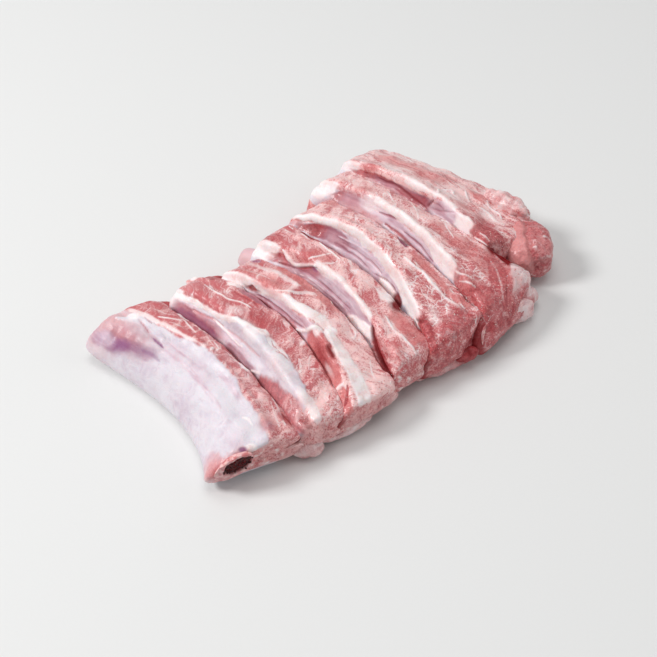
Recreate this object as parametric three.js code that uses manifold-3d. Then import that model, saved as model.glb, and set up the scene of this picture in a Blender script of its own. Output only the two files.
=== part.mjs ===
// A raw rack of seven pork ribs, lying bone side up. Deep slits run between the ribs and stop short of
// the underside and of the far ends, so the meat is one piece, and the ribs lean open like book pages.
// Each rib is a lean wedge: a membrane-covered face over the bone on its -X side, a fatty crest, and a
// marbled cut face that slopes to a lip over the next slit. A bone runs through each rib.
//
// Frame, in millimetres: +X across the ribs, +Y along them to the far ends, +Z up, and the origin at the
// bottom centre of the rack. The rack rests on the flat middle of its underside, at z = 0.
import * as THREE from "three";
import { mergeVertices } from "three/addons/utils/BufferGeometryUtils.js";
import Module from "manifold-3d";

const wasm = await Module();
wasm.setup();

// ---- Driving dimensions ----

// Every rib is cut unevenly. A list of three is the value at the far end, the middle and the near end.
// crestX, crestY and crestZ place the crest, measured from PLAN_ORIGIN. face is the width of the membrane
// face on its -X side, meat the width of the cut face on its +X side, and lip the height of that face's
// free edge. dip is how far the membrane sinks behind the crest. turn is the direction across the rib in
// plan, in degrees from +X, so it slants the two ends. farKeep is the share of its section that the rounded
// far end keeps, and foot is how much further out the near end reaches at its foot than at its top.
const RIBS = [
  { crestX: [-75, -72.5, -85], crestY: [57, 5, -44.5], crestZ: [20, 27, 21], face: [25, 22, 28.5],
    meat: [13, 9.5, 17], lip: [17, 22, 12], dip: [0, 0, 0], turn: [-16, 0, -22], farKeep: 0.86, foot: -2 },
  { crestX: [-52, -53.5, -65], crestY: [51, 1, -50], crestZ: [21, 30, 20], face: [12, 12, 11],
    meat: [18, 20, 16], lip: [17, 25, 15], dip: [2, 5, 1], turn: [0, 0, -17], farKeep: 0.55, foot: -2 },
  { crestX: [-31, -29.5, -47], crestY: [43, -5, -56], crestZ: [22, 31, 19], face: [10, 9, 11],
    meat: [18, 17, 25], lip: [18, 27, 13], dip: [2, 6, 2], turn: [-5, 0, -8], farKeep: 0.5, foot: -3 },
  { crestX: [-6, -3, -17], crestY: [47, -1, -55], crestZ: [21, 31, 21], face: [12, 12, 11],
    meat: [20, 15, 21], lip: [19, 28, 18], dip: [2, 6, 4], turn: [5, 0, -5], farKeep: 0.5, foot: -1 },
  { crestX: [17, 24, 0], crestY: [48, -2, -59], crestZ: [22, 34, 19], face: [12, 15, 7],
    meat: [23, 15, 33], lip: [20, 28, 20], dip: [2, 7, 3], turn: [-5, 0, -4], farKeep: 0.5, foot: 0 },
  { crestX: [48, 46.5, 34], crestY: [57, 0, -64], crestZ: [22, 34, 23], face: [12, 11, 12],
    meat: [17, 16, 38], lip: [20, 28, 18], dip: [1, 6, 4], turn: [-10, 0, 5], farKeep: 0.55, foot: 7 },
  { crestX: [66, 70, 66], crestY: [60, 10, -36], crestZ: [22, 33, 26], face: [11, 11, 11],
    meat: [26, 36, 36], lip: [14, 17, 15], dip: [2, 7, 2], turn: [4, 0, -12], farKeep: 0.55, foot: 0 },
];
const PLAN_ORIGIN = [-1.09, -2.26];

// The slits: the height of their floor, the undercut of their wall, and how far the web under them runs
// on below the next rib. They close at the far end within closedShare of a rib's length.
const SLIT = { floor: 8, floorAtFarEnd: 16, closedShare: 0.14, undercut: 2.5, overlap: 9, nearOverlap: 3 };

// The ends: the lengths over which they round, and the share of its section that the cut end keeps. A
// rib lies flat over flatShare of its length, and its ends lift. heart is the point a section shrinks to.
const END = { farRound: 7, nearRound: 4, nearKeep: 0.86, footShare: 0.25, footHeight: 24 };
const LIFT = { height: 4, flatShare: 0.4, fadesAt: 40 };
const HEART = { across: 0.3, height: 0.42 };

// The bones: inset is from the foot of the membrane face, and a bone is thinner in a face narrower than
// fullFace. play is the gap round it, and proud is how far it stands out of the cut end.
const BONE = { width: 14, thickness: 9.5, inset: 9, heightShare: 0.42, fullFace: 17, play: 0.3, proud: 0.6 };
const BONE_END = { keep: 0.72, share: 0.08, usualStart: 0.09, stubStart: -0.06, runOut: 4 };
const STUB_RIB = 3; // the fourth rib's bone stands out of its far end

const LOBE = { centre: [90, -43, 12], radii: [12, 16, 12], turn: -0.8 };
const RELIEF = { height: 0.8, wavelengths: [17, 11, 7], turn: 1.3, stretch: 0.7, fadesFrom: 3, fadesTo: 10 };
const MESH = { steps: 24, around: 24, boneSteps: 10, boneAround: 10, lobeSegments: 16 };

// ---- Curves and sections ----

// The value of a far, middle and near triple at t, from 0 at the far end to 1 at the near one.
function along([far, middle, near], t) {
  return far * (1 - t) * (1 - 2 * t) + 4 * middle * t * (1 - t) + near * t * (2 * t - 1);
}

function smoothstep(low, high, value) {
  const share = THREE.MathUtils.clamp((value - low) / (high - low), 0, 1);
  return share * share * (3 - 2 * share);
}

// The control points of a rib's section at t, as [distance across from the crest, height] pairs: from the
// foot of the membrane face, over the crest and the lip, down the slit, and back along the underside.
function sectionControls(rib, t, outermost) {
  const face = along(rib.face, t);
  const meat = along(rib.meat, t);
  const crest = along(rib.crestZ, t);
  const lip = along(rib.lip, t);
  const dip = along(rib.dip, t);
  const closing = 1 - smoothstep(0, SLIT.closedShare, t);
  const floor = THREE.MathUtils.lerp(SLIT.floor, SLIT.floorAtFarEnd, closing);
  const overlap = THREE.MathUtils.lerp(SLIT.overlap, SLIT.nearOverlap, smoothstep(0.8, 1, t));
  const wall = meat - SLIT.undercut * (1 - closing);
  const overSlit = [
    [-face + 3, 0],
    [-face, 1.5],
    [-face - 0.5, 0.25 * crest],
    [-0.85 * face, 0.58 * crest - 0.7 * dip],
    [-0.55 * face, 0.84 * crest - dip],
    [-0.38 * face, 0.9 * crest - 0.9 * dip],
    [-0.2 * face, 0.91 * crest - 0.45 * dip],
    [-0.8, crest],
    [1.6, crest + 0.3],
    [0.3 * meat, 0.55 * crest + 0.45 * lip + 1.2],
    [0.65 * meat, 0.3 * crest + 0.7 * lip + 1.4],
    [meat - 1.5, lip + 0.8],
    [meat, lip - 0.2],
    [meat - 0.4, lip - 2.2],
  ];
  const side = outermost
    ? [[meat + 1.5, 0.6 * lip], [meat + 1.5, 0.3 * lip], [meat - 1, 1], [meat - 5, 0]]
    : [[wall, 0.45 * lip + 0.55 * floor], [wall + 0.6, floor + 1], [meat + 0.4 * overlap, floor - 1],
       [meat + overlap, floor - 4], [meat + overlap, 1], [meat, 0]];
  return [...overSlit, ...side, [0.5 * meat, 0], [0, 0], [-0.5 * face, 0]];
}

// A point of the closed quadratic B-spline through the control polygon, at a share of the way round.
function splinePoint(controls, share) {
  const count = controls.length;
  const at = share * count;
  const i = Math.floor(at);
  const f = at - i;
  const weights = [0.5 * (1 - f) ** 2, 0.5 + f * (1 - f), 0.5 * f * f];
  const near = weights.map((_, k) => controls[(i + k - 1 + count) % count]);
  return [0, 1].map((axis) => weights.reduce((sum, weight, k) => sum + weight * near[k][axis], 0));
}

// The share of the whole that is left at a distance from an end, over which it rounds down to keep.
function rounded(distance, round, keep) {
  const x = THREE.MathUtils.clamp(distance / round, 0, 1);
  return keep + (1 - keep) * Math.sqrt(1 - (1 - x) ** 2);
}

// How much of its full size a rib's section keeps at t: the far end is rounded, and the cut end blunt.
function endShare(rib, t) {
  const length = rib.crestY[0] - rib.crestY[2];
  const far = rounded(t * length, END.farRound, rib.farKeep);
  return far * rounded((1 - t) * length, END.nearRound, END.nearKeep);
}

// Gentle unevenness of the flesh in millimetres, as crossed waves that turn from one to the next.
function relief(x, y) {
  return RELIEF.wavelengths.reduce((sum, wavelength, k) => {
    const turn = RELIEF.turn * (k + 1);
    const pace = (2 * Math.PI) / wavelength;
    const u = x * Math.cos(turn) + y * Math.sin(turn);
    const v = y * Math.cos(turn) - x * Math.sin(turn);
    return sum + (RELIEF.height * Math.sin(pace * u + turn) * Math.cos(RELIEF.stretch * pace * v)) / (k + 1);
  }, 0);
}

// The place of a section's [across, height] pair at t on the rib. Both ends are lifted a little.
function ribPoint(rib, t, [across, height]) {
  const turn = THREE.MathUtils.degToRad(along(rib.turn, t));
  const foot = rib.foot * smoothstep(1 - END.footShare, 1, t) * (0.5 - height / END.footHeight);
  const fromFlat = Math.max(0, (Math.abs(2 * t - 1) - LIFT.flatShare) / (1 - LIFT.flatShare));
  return new THREE.Vector3(
    along(rib.crestX, t) - PLAN_ORIGIN[0] + across * Math.cos(turn),
    along(rib.crestY, t) - PLAN_ORIGIN[1] + across * Math.sin(turn) - foot,
    height + LIFT.height * fromFlat ** 2 * (1 - height / LIFT.fadesAt),
  );
}

// ---- Solids ----

// A closed solid through rings of points that run round the same way, with a fan over each end.
function loft(rings) {
  const around = rings[0].length;
  const points = rings.flat();
  const faces = [];
  for (let j = 0; j < rings.length - 1; j++) {
    for (let i = 0; i < around; i++) {
      const [a, b] = [j * around + i, j * around + ((i + 1) % around)];
      faces.push([a, b + around, b], [a, a + around, b + around]);
    }
  }
  for (const [ring, flip] of [[0, false], [rings.length - 1, true]]) {
    const middle = points.length;
    points.push(rings[ring].reduce((sum, p) => sum.add(p), new THREE.Vector3()).divideScalar(around));
    for (let i = 0; i < around; i++) {
      const [a, b] = [ring * around + i, ring * around + ((i + 1) % around)];
      faces.push(flip ? [a, middle, b] : [a, b, middle]);
    }
  }
  const geometry = new THREE.BufferGeometry().setFromPoints(points);
  geometry.setIndex(faces.flat());
  return geometry;
}

// A three.js geometry as a manifold-3d solid.
function solid(geometry) {
  const bare = geometry.clone();
  bare.deleteAttribute("normal");
  bare.deleteAttribute("uv");
  const merged = mergeVertices(bare, 1e-4);
  const mesh = { numProp: 3, vertProperties: merged.attributes.position.array, triVerts: merged.index.array };
  return new wasm.Manifold(new wasm.Mesh(mesh));
}

// Shares of the way along a rib, closer together near its rounded ends.
function stations(steps) {
  return Array.from({ length: steps + 1 }, (_, j) => 0.5 - 0.5 * Math.cos((Math.PI * j) / steps));
}

function ribGeometry(rib, outermost) {
  const rings = stations(MESH.steps).map((t) => {
    const controls = sectionControls(rib, t, outermost);
    const keep = endShare(rib, t);
    const width = along(rib.meat, t) - along(rib.face, t);
    const heart = [HEART.across * width, HEART.height * along(rib.crestZ, t)];
    return Array.from({ length: MESH.around }, (_, i) => {
      const full = splinePoint(controls, i / MESH.around);
      const pair = full.map((value, axis) => heart[axis] + (value - heart[axis]) * keep);
      const point = ribPoint(rib, t, pair);
      point.z += relief(point.x, point.y) * smoothstep(RELIEF.fadesFrom, RELIEF.fadesTo, pair[1]);
      return point;
    });
  });
  return loft(rings);
}

// A rib's bone: a flattened rod under the membrane face. grow widens it into the channel it lies in.
function boneGeometry(rib, start, end, grow) {
  const rings = stations(MESH.boneSteps).map((s) => {
    const t = THREE.MathUtils.lerp(start, end, s);
    const [face, crest] = [along(rib.face, t), along(rib.crestZ, t)];
    const tilt = Math.atan2(crest, face);
    const size = rounded(s, BONE_END.share, BONE_END.keep) * Math.min(1, 0.2 + face / BONE.fullFace);
    const [halfWidth, halfThickness] = [BONE.width, BONE.thickness].map((whole) => (whole / 2) * size + grow);
    return Array.from({ length: MESH.boneAround }, (_, i) => {
      const turn = (-2 * Math.PI * i) / MESH.boneAround;
      const [u, v] = [halfWidth * Math.cos(turn), halfThickness * Math.sin(turn)];
      const across = BONE.inset - face + u * Math.cos(tilt) - v * Math.sin(tilt);
      return ribPoint(rib, t, [across, BONE.heightShare * crest + u * Math.sin(tilt) + v * Math.cos(tilt)]);
    });
  });
  return loft(rings);
}

// The plump round muscle at the near end of the last rib.
function lobeGeometry() {
  const geometry = new THREE.SphereGeometry(1, MESH.lobeSegments, MESH.lobeSegments / 2 + 2);
  geometry.scale(...LOBE.radii);
  geometry.rotateZ(LOBE.turn);
  geometry.translate(LOBE.centre[0] - PLAN_ORIGIN[0], LOBE.centre[1] - PLAN_ORIGIN[1], LOBE.centre[2]);
  return geometry;
}

// ---- Nodes ----

const MEAT_COLOUR = new THREE.Color(0.86, 0.58, 0.57);
const BONE_COLOUR = new THREE.Color(0.8, 0.66, 0.63);

function named(name, geometry, color, roughness) {
  const mesh = new THREE.Mesh(geometry, new THREE.MeshStandardMaterial({ color, roughness, metalness: 0 }));
  mesh.name = name;
  return mesh;
}

function geometryOf(manifold) {
  const { vertProperties, triVerts } = manifold.getMesh();
  const geometry = new THREE.BufferGeometry();
  geometry.setAttribute("position", new THREE.BufferAttribute(new Float32Array(vertProperties), 3));
  geometry.setIndex([...triVerts]);
  geometry.computeVertexNormals();
  return geometry;
}

// A rib's bone, and the channel for it, which runs out of the rib at each end where the bone shows.
function boneAndChannel(rib, index) {
  const length = rib.crestY[0] - rib.crestY[2];
  const stub = index === STUB_RIB;
  const start = stub ? BONE_END.stubStart : BONE_END.usualStart;
  const end = 1 + BONE.proud / length;
  const channelStart = start - (stub ? BONE_END.runOut : BONE.play) / length;
  return [
    boneGeometry(rib, start, end, 0),
    boneGeometry(rib, channelStart, end + BONE_END.runOut / length, BONE.play),
  ];
}

function rackGroup() {
  const group = new THREE.Group();
  let meat = solid(lobeGeometry());
  RIBS.forEach((rib, index) => {
    meat = meat.add(solid(ribGeometry(rib, index === RIBS.length - 1)));
  });
  RIBS.forEach((rib, index) => {
    const [bone, channel] = boneAndChannel(rib, index);
    meat = meat.subtract(solid(channel));
    group.add(named(`bone_${index + 1}`, bone, BONE_COLOUR, 0.5));
  });
  group.add(named("rack_meat", geometryOf(meat), MEAT_COLOUR, 0.4));
  return group;
}

export default rackGroup();
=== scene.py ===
"""A raw rack of seven ribs: its meat, membrane, fat and cut bones, on a pale floor in soft light.

Sizes and places are in millimetres and become metres when a mesh is made. The rack lies on the floor with its
underside at height 0. X runs from the first rib to the seventh, and Y from their near ends to their far ends.
"""

import sys

import itertools
import logging
import math
from dataclasses import dataclass, field
from enum import Enum
from typing import Sequence, Union

import bpy
import numpy as np
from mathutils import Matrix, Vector


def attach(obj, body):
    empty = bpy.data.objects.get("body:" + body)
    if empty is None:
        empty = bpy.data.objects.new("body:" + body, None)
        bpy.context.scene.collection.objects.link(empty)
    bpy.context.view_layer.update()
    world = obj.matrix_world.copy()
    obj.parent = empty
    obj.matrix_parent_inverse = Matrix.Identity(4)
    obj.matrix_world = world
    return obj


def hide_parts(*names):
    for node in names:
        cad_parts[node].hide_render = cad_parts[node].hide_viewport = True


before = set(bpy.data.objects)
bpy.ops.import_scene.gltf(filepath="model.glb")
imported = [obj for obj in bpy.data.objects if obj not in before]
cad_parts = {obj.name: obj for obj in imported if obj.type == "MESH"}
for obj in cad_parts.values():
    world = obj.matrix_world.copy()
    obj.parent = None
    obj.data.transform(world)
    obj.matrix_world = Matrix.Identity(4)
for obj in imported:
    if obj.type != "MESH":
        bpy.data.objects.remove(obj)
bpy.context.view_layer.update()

log = logging.getLogger("rack")

Array = np.ndarray
Number = Union[float, Array]
Triple = tuple[float, float, float]
Spot = tuple[float, float]
Colour = tuple[float, float, float]
Socket = bpy.types.NodeSocket
Settings = dict[str, object]
Inputs = dict[Union[str, int], object]

METRES = 0.001
BODY = "root"
MEAT_NODE = "rack_meat"
MEAT_SLOT = "meat"
BONE_SLOT = "bone"
GRAIN_MAP = "grain"
RUN_MAP = "run"


# --- Numbers that vary smoothly ---


def along(ends: Triple, share: Number) -> Number:
    """Gives a size between its far, middle and near values.

    Args:
        ends: The size at a rib's far end, middle and near end.
        share: How far along the rib, from 0 at its far end to 1 at its near end.

    Returns:
        The size there, on the parabola through the three.
    """
    far, middle, near = ends
    left = 1 - share
    return far * left * (1 - 2 * share) + 4 * middle * share * left + near * share * (2 * share - 1)


def smoothstep(low: float, high: float, value: Number) -> Number:
    """Gives 0 below low, 1 above high and a smooth rise between them."""
    share = np.clip((value - low) / (high - low), 0, 1)
    return share * share * (3 - 2 * share)


def lerp(start: Number, end: Number, share: Number) -> Number:
    """Gives the value that lies a share of the way from start to end."""
    return start + (end - start) * share


def rounded(distance: Number, round_size: float, keep: float) -> Number:
    """Gives how much of a section is left this far from a rounded end that keeps only a part of it."""
    inward = np.clip(distance / round_size, 0, 1)
    return keep + (1 - keep) * np.sqrt(1 - (1 - inward) ** 2)


@dataclass(frozen=True)
class Grain:
    """Smooth unevenness from about -1 to 1 that is the same on every run.

    Attributes:
        size: How far apart its lumps lie.
        seed: Which of the many patterns it is.
        octaves: How many layers it has, each twice as fine and half as high as the one before.
    """

    size: float
    seed: int
    octaves: int = 1

    PRIMES = (73856093, 19349663, 83492791)
    SEED_PRIME, MIX_FACTOR, MIX_STEP, MASK = 2654435, 1103515245, 12345, 0x7FFFFFFF
    TURNS, STEEPNESS = 1024, 1.6

    def at(self, points: Array) -> Array:
        """Samples the unevenness.

        Args:
            points: Places with three coordinates each, in the last axis.

        Returns:
            One value for each place.
        """
        total, height, reach = 0.0, 1.0, 0.0
        for octave in range(self.octaves):
            layer = self._layer(points * (2 ** octave / self.size), self.seed * 17 + octave)
            total = total + height * layer
            reach += height
            height *= 0.5
        return total / reach

    def _layer(self, points: Array, seed: int) -> Array:
        """Gives one octave: each lattice corner pulls along a direction of its own.

        Args:
            points: Places, with the lattice one apart.
            seed: Which pattern it is.

        Returns:
            One value for each place.
        """
        cell = np.floor(points)
        inside = points - cell
        fade = inside ** 3 * (inside * (inside * 6 - 15) + 10)
        cell = cell.astype(np.int64)
        total = np.zeros(points.shape[:-1])
        for corner in itertools.product((0, 1), repeat=3):
            keys = [(cell[..., axis] + side) * self.PRIMES[axis] for axis, side in enumerate(corner)]
            key = (keys[0] ^ keys[1] ^ keys[2] ^ (seed + 1) * self.SEED_PRIME) & self.MASK
            key = (key * self.MIX_FACTOR + self.MIX_STEP ^ key >> 13) & self.MASK
            around = key % self.TURNS * (2 * math.pi / self.TURNS)
            half = (self.TURNS - 1) / 2
            up = ((key >> 10) % self.TURNS - half) / half
            level = np.sqrt(1 - up * up)
            toward = np.stack([level * np.cos(around), level * np.sin(around), up], -1)
            pull = (toward * (inside - corner)).sum(-1)
            weight = np.ones(points.shape[:-1])
            for axis, side in enumerate(corner):
                weight = weight * (fade[..., axis] if side else 1 - fade[..., axis])
            total += pull * weight
        return np.clip(total * self.STEEPNESS, -1, 1)


def streaks(grain: Grain, lengthwise: Array, crosswise: Array, stretch: float, height: Number = 0.0) -> Array:
    """Samples a grain that is drawn out along fibres, with a height that keeps neighbours apart."""
    return grain.at(np.stack([lengthwise / stretch, crosswise, np.zeros_like(crosswise) + height], -1))


# --- Tissues and what is laid on a rib ---
#
# A place on a rib is a percent along it, from 0 at its far end to 100 at its near end, and a section place.
# That counts the control points round the section: 1 to 4 up the bone side, 7.5 at the crest, 9 to 11 over
# the meat, 12 at the lip, and from 13 on down the wall of the slit and back along the underside.


class Tissue(Enum):
    """What a place on the rack's surface is made of. The dark red blood tissue is partly real blood and
    partly painted shade in slits, creases and hidden places, and the mauve one is partly painted shade in
    valleys under a lip.
    """

    LEAN = "lean"
    FLESH = "flesh"
    RAW = "raw"
    FILM = "film"
    LILAC = "lilac"
    FAT = "fat"
    MAUVE = "mauve"
    BRUISE = "bruise"
    # partly painted shade: the dark red laid in slits, creases and hidden places
    BLOOD_AND_SHADE = "blood_and_shade"


LEAN, FLESH, RAW, FILM, LILAC, FAT, MAUVE, BRUISE, BLOOD_AND_SHADE = Tissue


@dataclass(frozen=True)
class Band:
    """A stretch of one tissue between two edges that run along a rib.

    Attributes:
        tissue: What it is made of.
        edges: Percents along the rib, each with the section places of its two edges.
        height: How far it stands up, or lies sunk.
        soft: The width over which its edges fade.
        ragged: How far its edges wander.
        strength: How much of the tissue beneath it hides.
    """

    tissue: Tissue
    edges: tuple[tuple[float, float, float], ...]
    height: float = 0.0
    soft: float = 1.0
    ragged: float = 1.0
    strength: float = 1.0


@dataclass(frozen=True)
class Seam:
    """A line of one tissue: a fat seam, a tendon or, with a height below 0, a crease.

    Attributes:
        tissue: What it is made of.
        route: Its points, each a percent along the rib and a section place.
        width: Its width in its middle.
        height: How far it stands up, or cuts in.
        strength: How much of the tissue beneath it hides.
        taper: The share of its width that is left at its two ends.
    """

    tissue: Tissue
    route: tuple[Spot, ...]
    width: float = 1.0
    height: float = 0.2
    strength: float = 1.0
    taper: float = 0.3


@dataclass(frozen=True)
class Patch:
    """An uneven oval of one tissue.

    Attributes:
        tissue: What it is made of.
        at: Its middle, a percent along the rib and a section place.
        size: Its length along the rib and its width across it.
        turn: How far its length is turned, in degrees.
        height: How far it stands up, or lies sunk.
        strength: How much of the tissue beneath it hides.
        soft: The share of its half width over which it fades.
    """

    tissue: Tissue
    at: Spot
    size: Spot
    turn: float = 0.0
    height: float = 0.0
    strength: float = 1.0
    soft: float = 0.5


Feature = Union[Band, Seam, Patch]


# --- Closed skins ---


@dataclass
class Skin:
    """A closed surface of rings, from one end to the other, with a point at each end.

    Attributes:
        rings: The places of its points, by ring and place round the ring.
        layers: Values by name, one for each point.
        maps: Two coordinates for each point by name, such as those along and across its fibres.
    """

    rings: Array
    layers: dict[str, Array] = field(default_factory=dict)
    maps: dict[str, Array] = field(default_factory=dict)

    def outward(self) -> Array:
        """Gives the direction away from the inside at each point.

        Returns:
            The directions.
        """
        around = np.roll(self.rings, -1, 1) - np.roll(self.rings, 1, 1)
        lengthwise = np.gradient(self.rings, axis=0)
        across = np.cross(around, lengthwise)
        across /= np.maximum(np.linalg.norm(across, axis=-1, keepdims=True), 1e-9)
        return across if self._volume() > 0 else -across

    def raise_by(self, height: Array) -> None:
        """Moves every point this far along its outward direction."""
        self.rings = self.rings + self.outward() * height[..., None]

    def _volume(self) -> float:
        """Measures what lies inside.

        Returns:
            Six times the volume, below 0 where the rings turn the wrong way round for their faces.
        """
        here, beside = self.rings[:-1], np.roll(self.rings[:-1], -1, 1)
        below, across = self.rings[1:], np.roll(self.rings[1:], -1, 1)
        first = np.einsum("ijk,ijk->", here, np.cross(beside, across))
        second = np.einsum("ijk,ijk->", here, np.cross(across, below))
        return float(first + second)

    def _faces(self, flip: bool) -> tuple[Array, Array]:
        """Gives the corners of the skin's quads and of the triangles round its two end points.

        Args:
            flip: Whether each face is turned over.

        Returns:
            The quads and the triangles, by point number, the end points numbered last.
        """
        rows, columns = self.rings.shape[:2]
        number = np.arange(rows * columns).reshape(rows, columns)
        beside = np.roll(number, -1, 1)
        quads = np.stack([number[:-1], beside[:-1], beside[1:], number[1:]], -1).reshape(-1, 4)
        top = np.stack([np.full(columns, rows * columns), beside[0], number[0]], -1)
        bottom = np.stack([np.full(columns, rows * columns + 1), number[-1], beside[-1]], -1)
        triangles = np.concatenate([top, bottom])
        return (quads[:, ::-1], triangles[:, ::-1]) if flip else (quads, triangles)

    def build(self, name: str, finish: bpy.types.Material) -> bpy.types.Object:
        """Makes the skin as a smooth mesh object at the origin.

        Args:
            name: The object's name.
            finish: Its material.

        Returns:
            The object.
        """
        quads, triangles = self._faces(self._volume() < 0)
        ends = self.rings[[0, -1]].mean(1)
        points = np.concatenate([self.rings.reshape(-1, 3), ends]) * METRES
        mesh = bpy.data.meshes.new(name)
        corners = np.concatenate([quads.ravel(), triangles.ravel()])
        starts = np.concatenate([np.arange(len(quads)) * 4, len(quads) * 4 + np.arange(len(triangles)) * 3])
        mesh.vertices.add(len(points))
        mesh.vertices.foreach_set("co", points.ravel())
        mesh.loops.add(len(corners))
        mesh.loops.foreach_set("vertex_index", corners.astype(np.int32))
        mesh.polygons.add(len(starts))
        mesh.polygons.foreach_set("loop_start", starts.astype(np.int32))
        mesh.update(calc_edges=True)
        for layer, values in self.layers.items():
            full = np.concatenate([values.ravel(), values[[0, -1]].mean(1)])
            mesh.attributes.new(layer, "FLOAT", "POINT").data.foreach_set("value", full.astype(np.float32))
        for kind, pairs in self.maps.items():
            full = np.concatenate([pairs.reshape(-1, 2), pairs[[0, -1]].mean(1)]) * METRES
            coordinates = mesh.uv_layers.new(name=kind)
            coordinates.data.foreach_set("uv", full[corners].astype(np.float32).ravel())
        mesh.shade_smooth()
        mesh.materials.append(finish)
        piece = bpy.data.objects.new(name, mesh)
        bpy.context.collection.objects.link(piece)
        return piece


# --- Shader expressions ---


Term = Union["Value", float]


class Value:
    """A number that varies over a surface, held as a node's socket, that takes Python's operators."""

    def __init__(self, recipe: "Recipe", socket: Socket) -> None:
        """Keeps the socket and the recipe that it belongs to."""
        self.recipe = recipe
        self.socket = socket

    def _math(self, operation: str, *terms: Term) -> "Value":
        """Adds one Math node with these values, in order."""
        return self.recipe.number("ShaderNodeMath", {"operation": operation}, dict(enumerate(terms)))

    def __add__(self, other: Term) -> "Value":
        """Adds."""
        return self._math("ADD", self, other)

    __radd__ = __add__

    def __mul__(self, other: Term) -> "Value":
        """Multiplies."""
        return self._math("MULTIPLY", self, other)

    __rmul__ = __mul__

    def __sub__(self, other: Term) -> "Value":
        """Subtracts."""
        return self._math("SUBTRACT", self, other)

    def __rsub__(self, other: Term) -> "Value":
        """Subtracts this from a number."""
        return self._math("SUBTRACT", other, self)

    def __abs__(self) -> "Value":
        """Drops the sign."""
        return self._math("ABSOLUTE", self)

    def rise(self, low: float, high: float) -> "Value":
        """Gives a smooth rise from 0 at low to 1 at high.

        Args:
            low: Where it starts.
            high: Where it ends.

        Returns:
            The rise.
        """
        settings = {"interpolation_type": "SMOOTHSTEP"}
        inputs = {"Value": self, "From Min": low, "From Max": high}
        return self.recipe.number("ShaderNodeMapRange", settings, inputs)

    def ridge(self) -> "Value":
        """Folds it so that its middle becomes a sharp ridge of height 1."""
        return 1 - abs(2 * self - 1)


class Graph:
    """A node tree while it is written."""

    def __init__(self, tree: bpy.types.NodeTree) -> None:
        """Keeps the tree."""
        self.tree = tree

    def node(self, kind: str, settings: Settings, inputs: Inputs) -> bpy.types.Node:
        """Adds one node.

        Args:
            kind: The node's type.
            settings: Its own properties, which are set first.
            inputs: The value or link of each socket, by name or number.

        Returns:
            The node.
        """
        node = self.tree.nodes.new(kind)
        for name, setting in settings.items():
            setattr(node, name, setting)
        for name, value in inputs.items():
            self.feed(node.inputs[name], value)
        return node

    def first(self, kind: str, settings: Settings, inputs: Inputs) -> Socket:
        """Adds one node and gives its first output."""
        return self.node(kind, settings, inputs).outputs[0]

    def feed(self, socket: Socket, value: object) -> None:
        """Links a value to a socket, or sets the socket's own constant.

        Args:
            socket: The socket.
            value: A Value, a socket, a number or a colour.
        """
        value = value.socket if isinstance(value, Value) else value
        if isinstance(value, Socket):
            self.tree.links.new(value, socket)
        else:
            is_colour = isinstance(value, tuple) and socket.type == "RGBA"
            socket.default_value = (*value, 1.0) if is_colour else value


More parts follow.
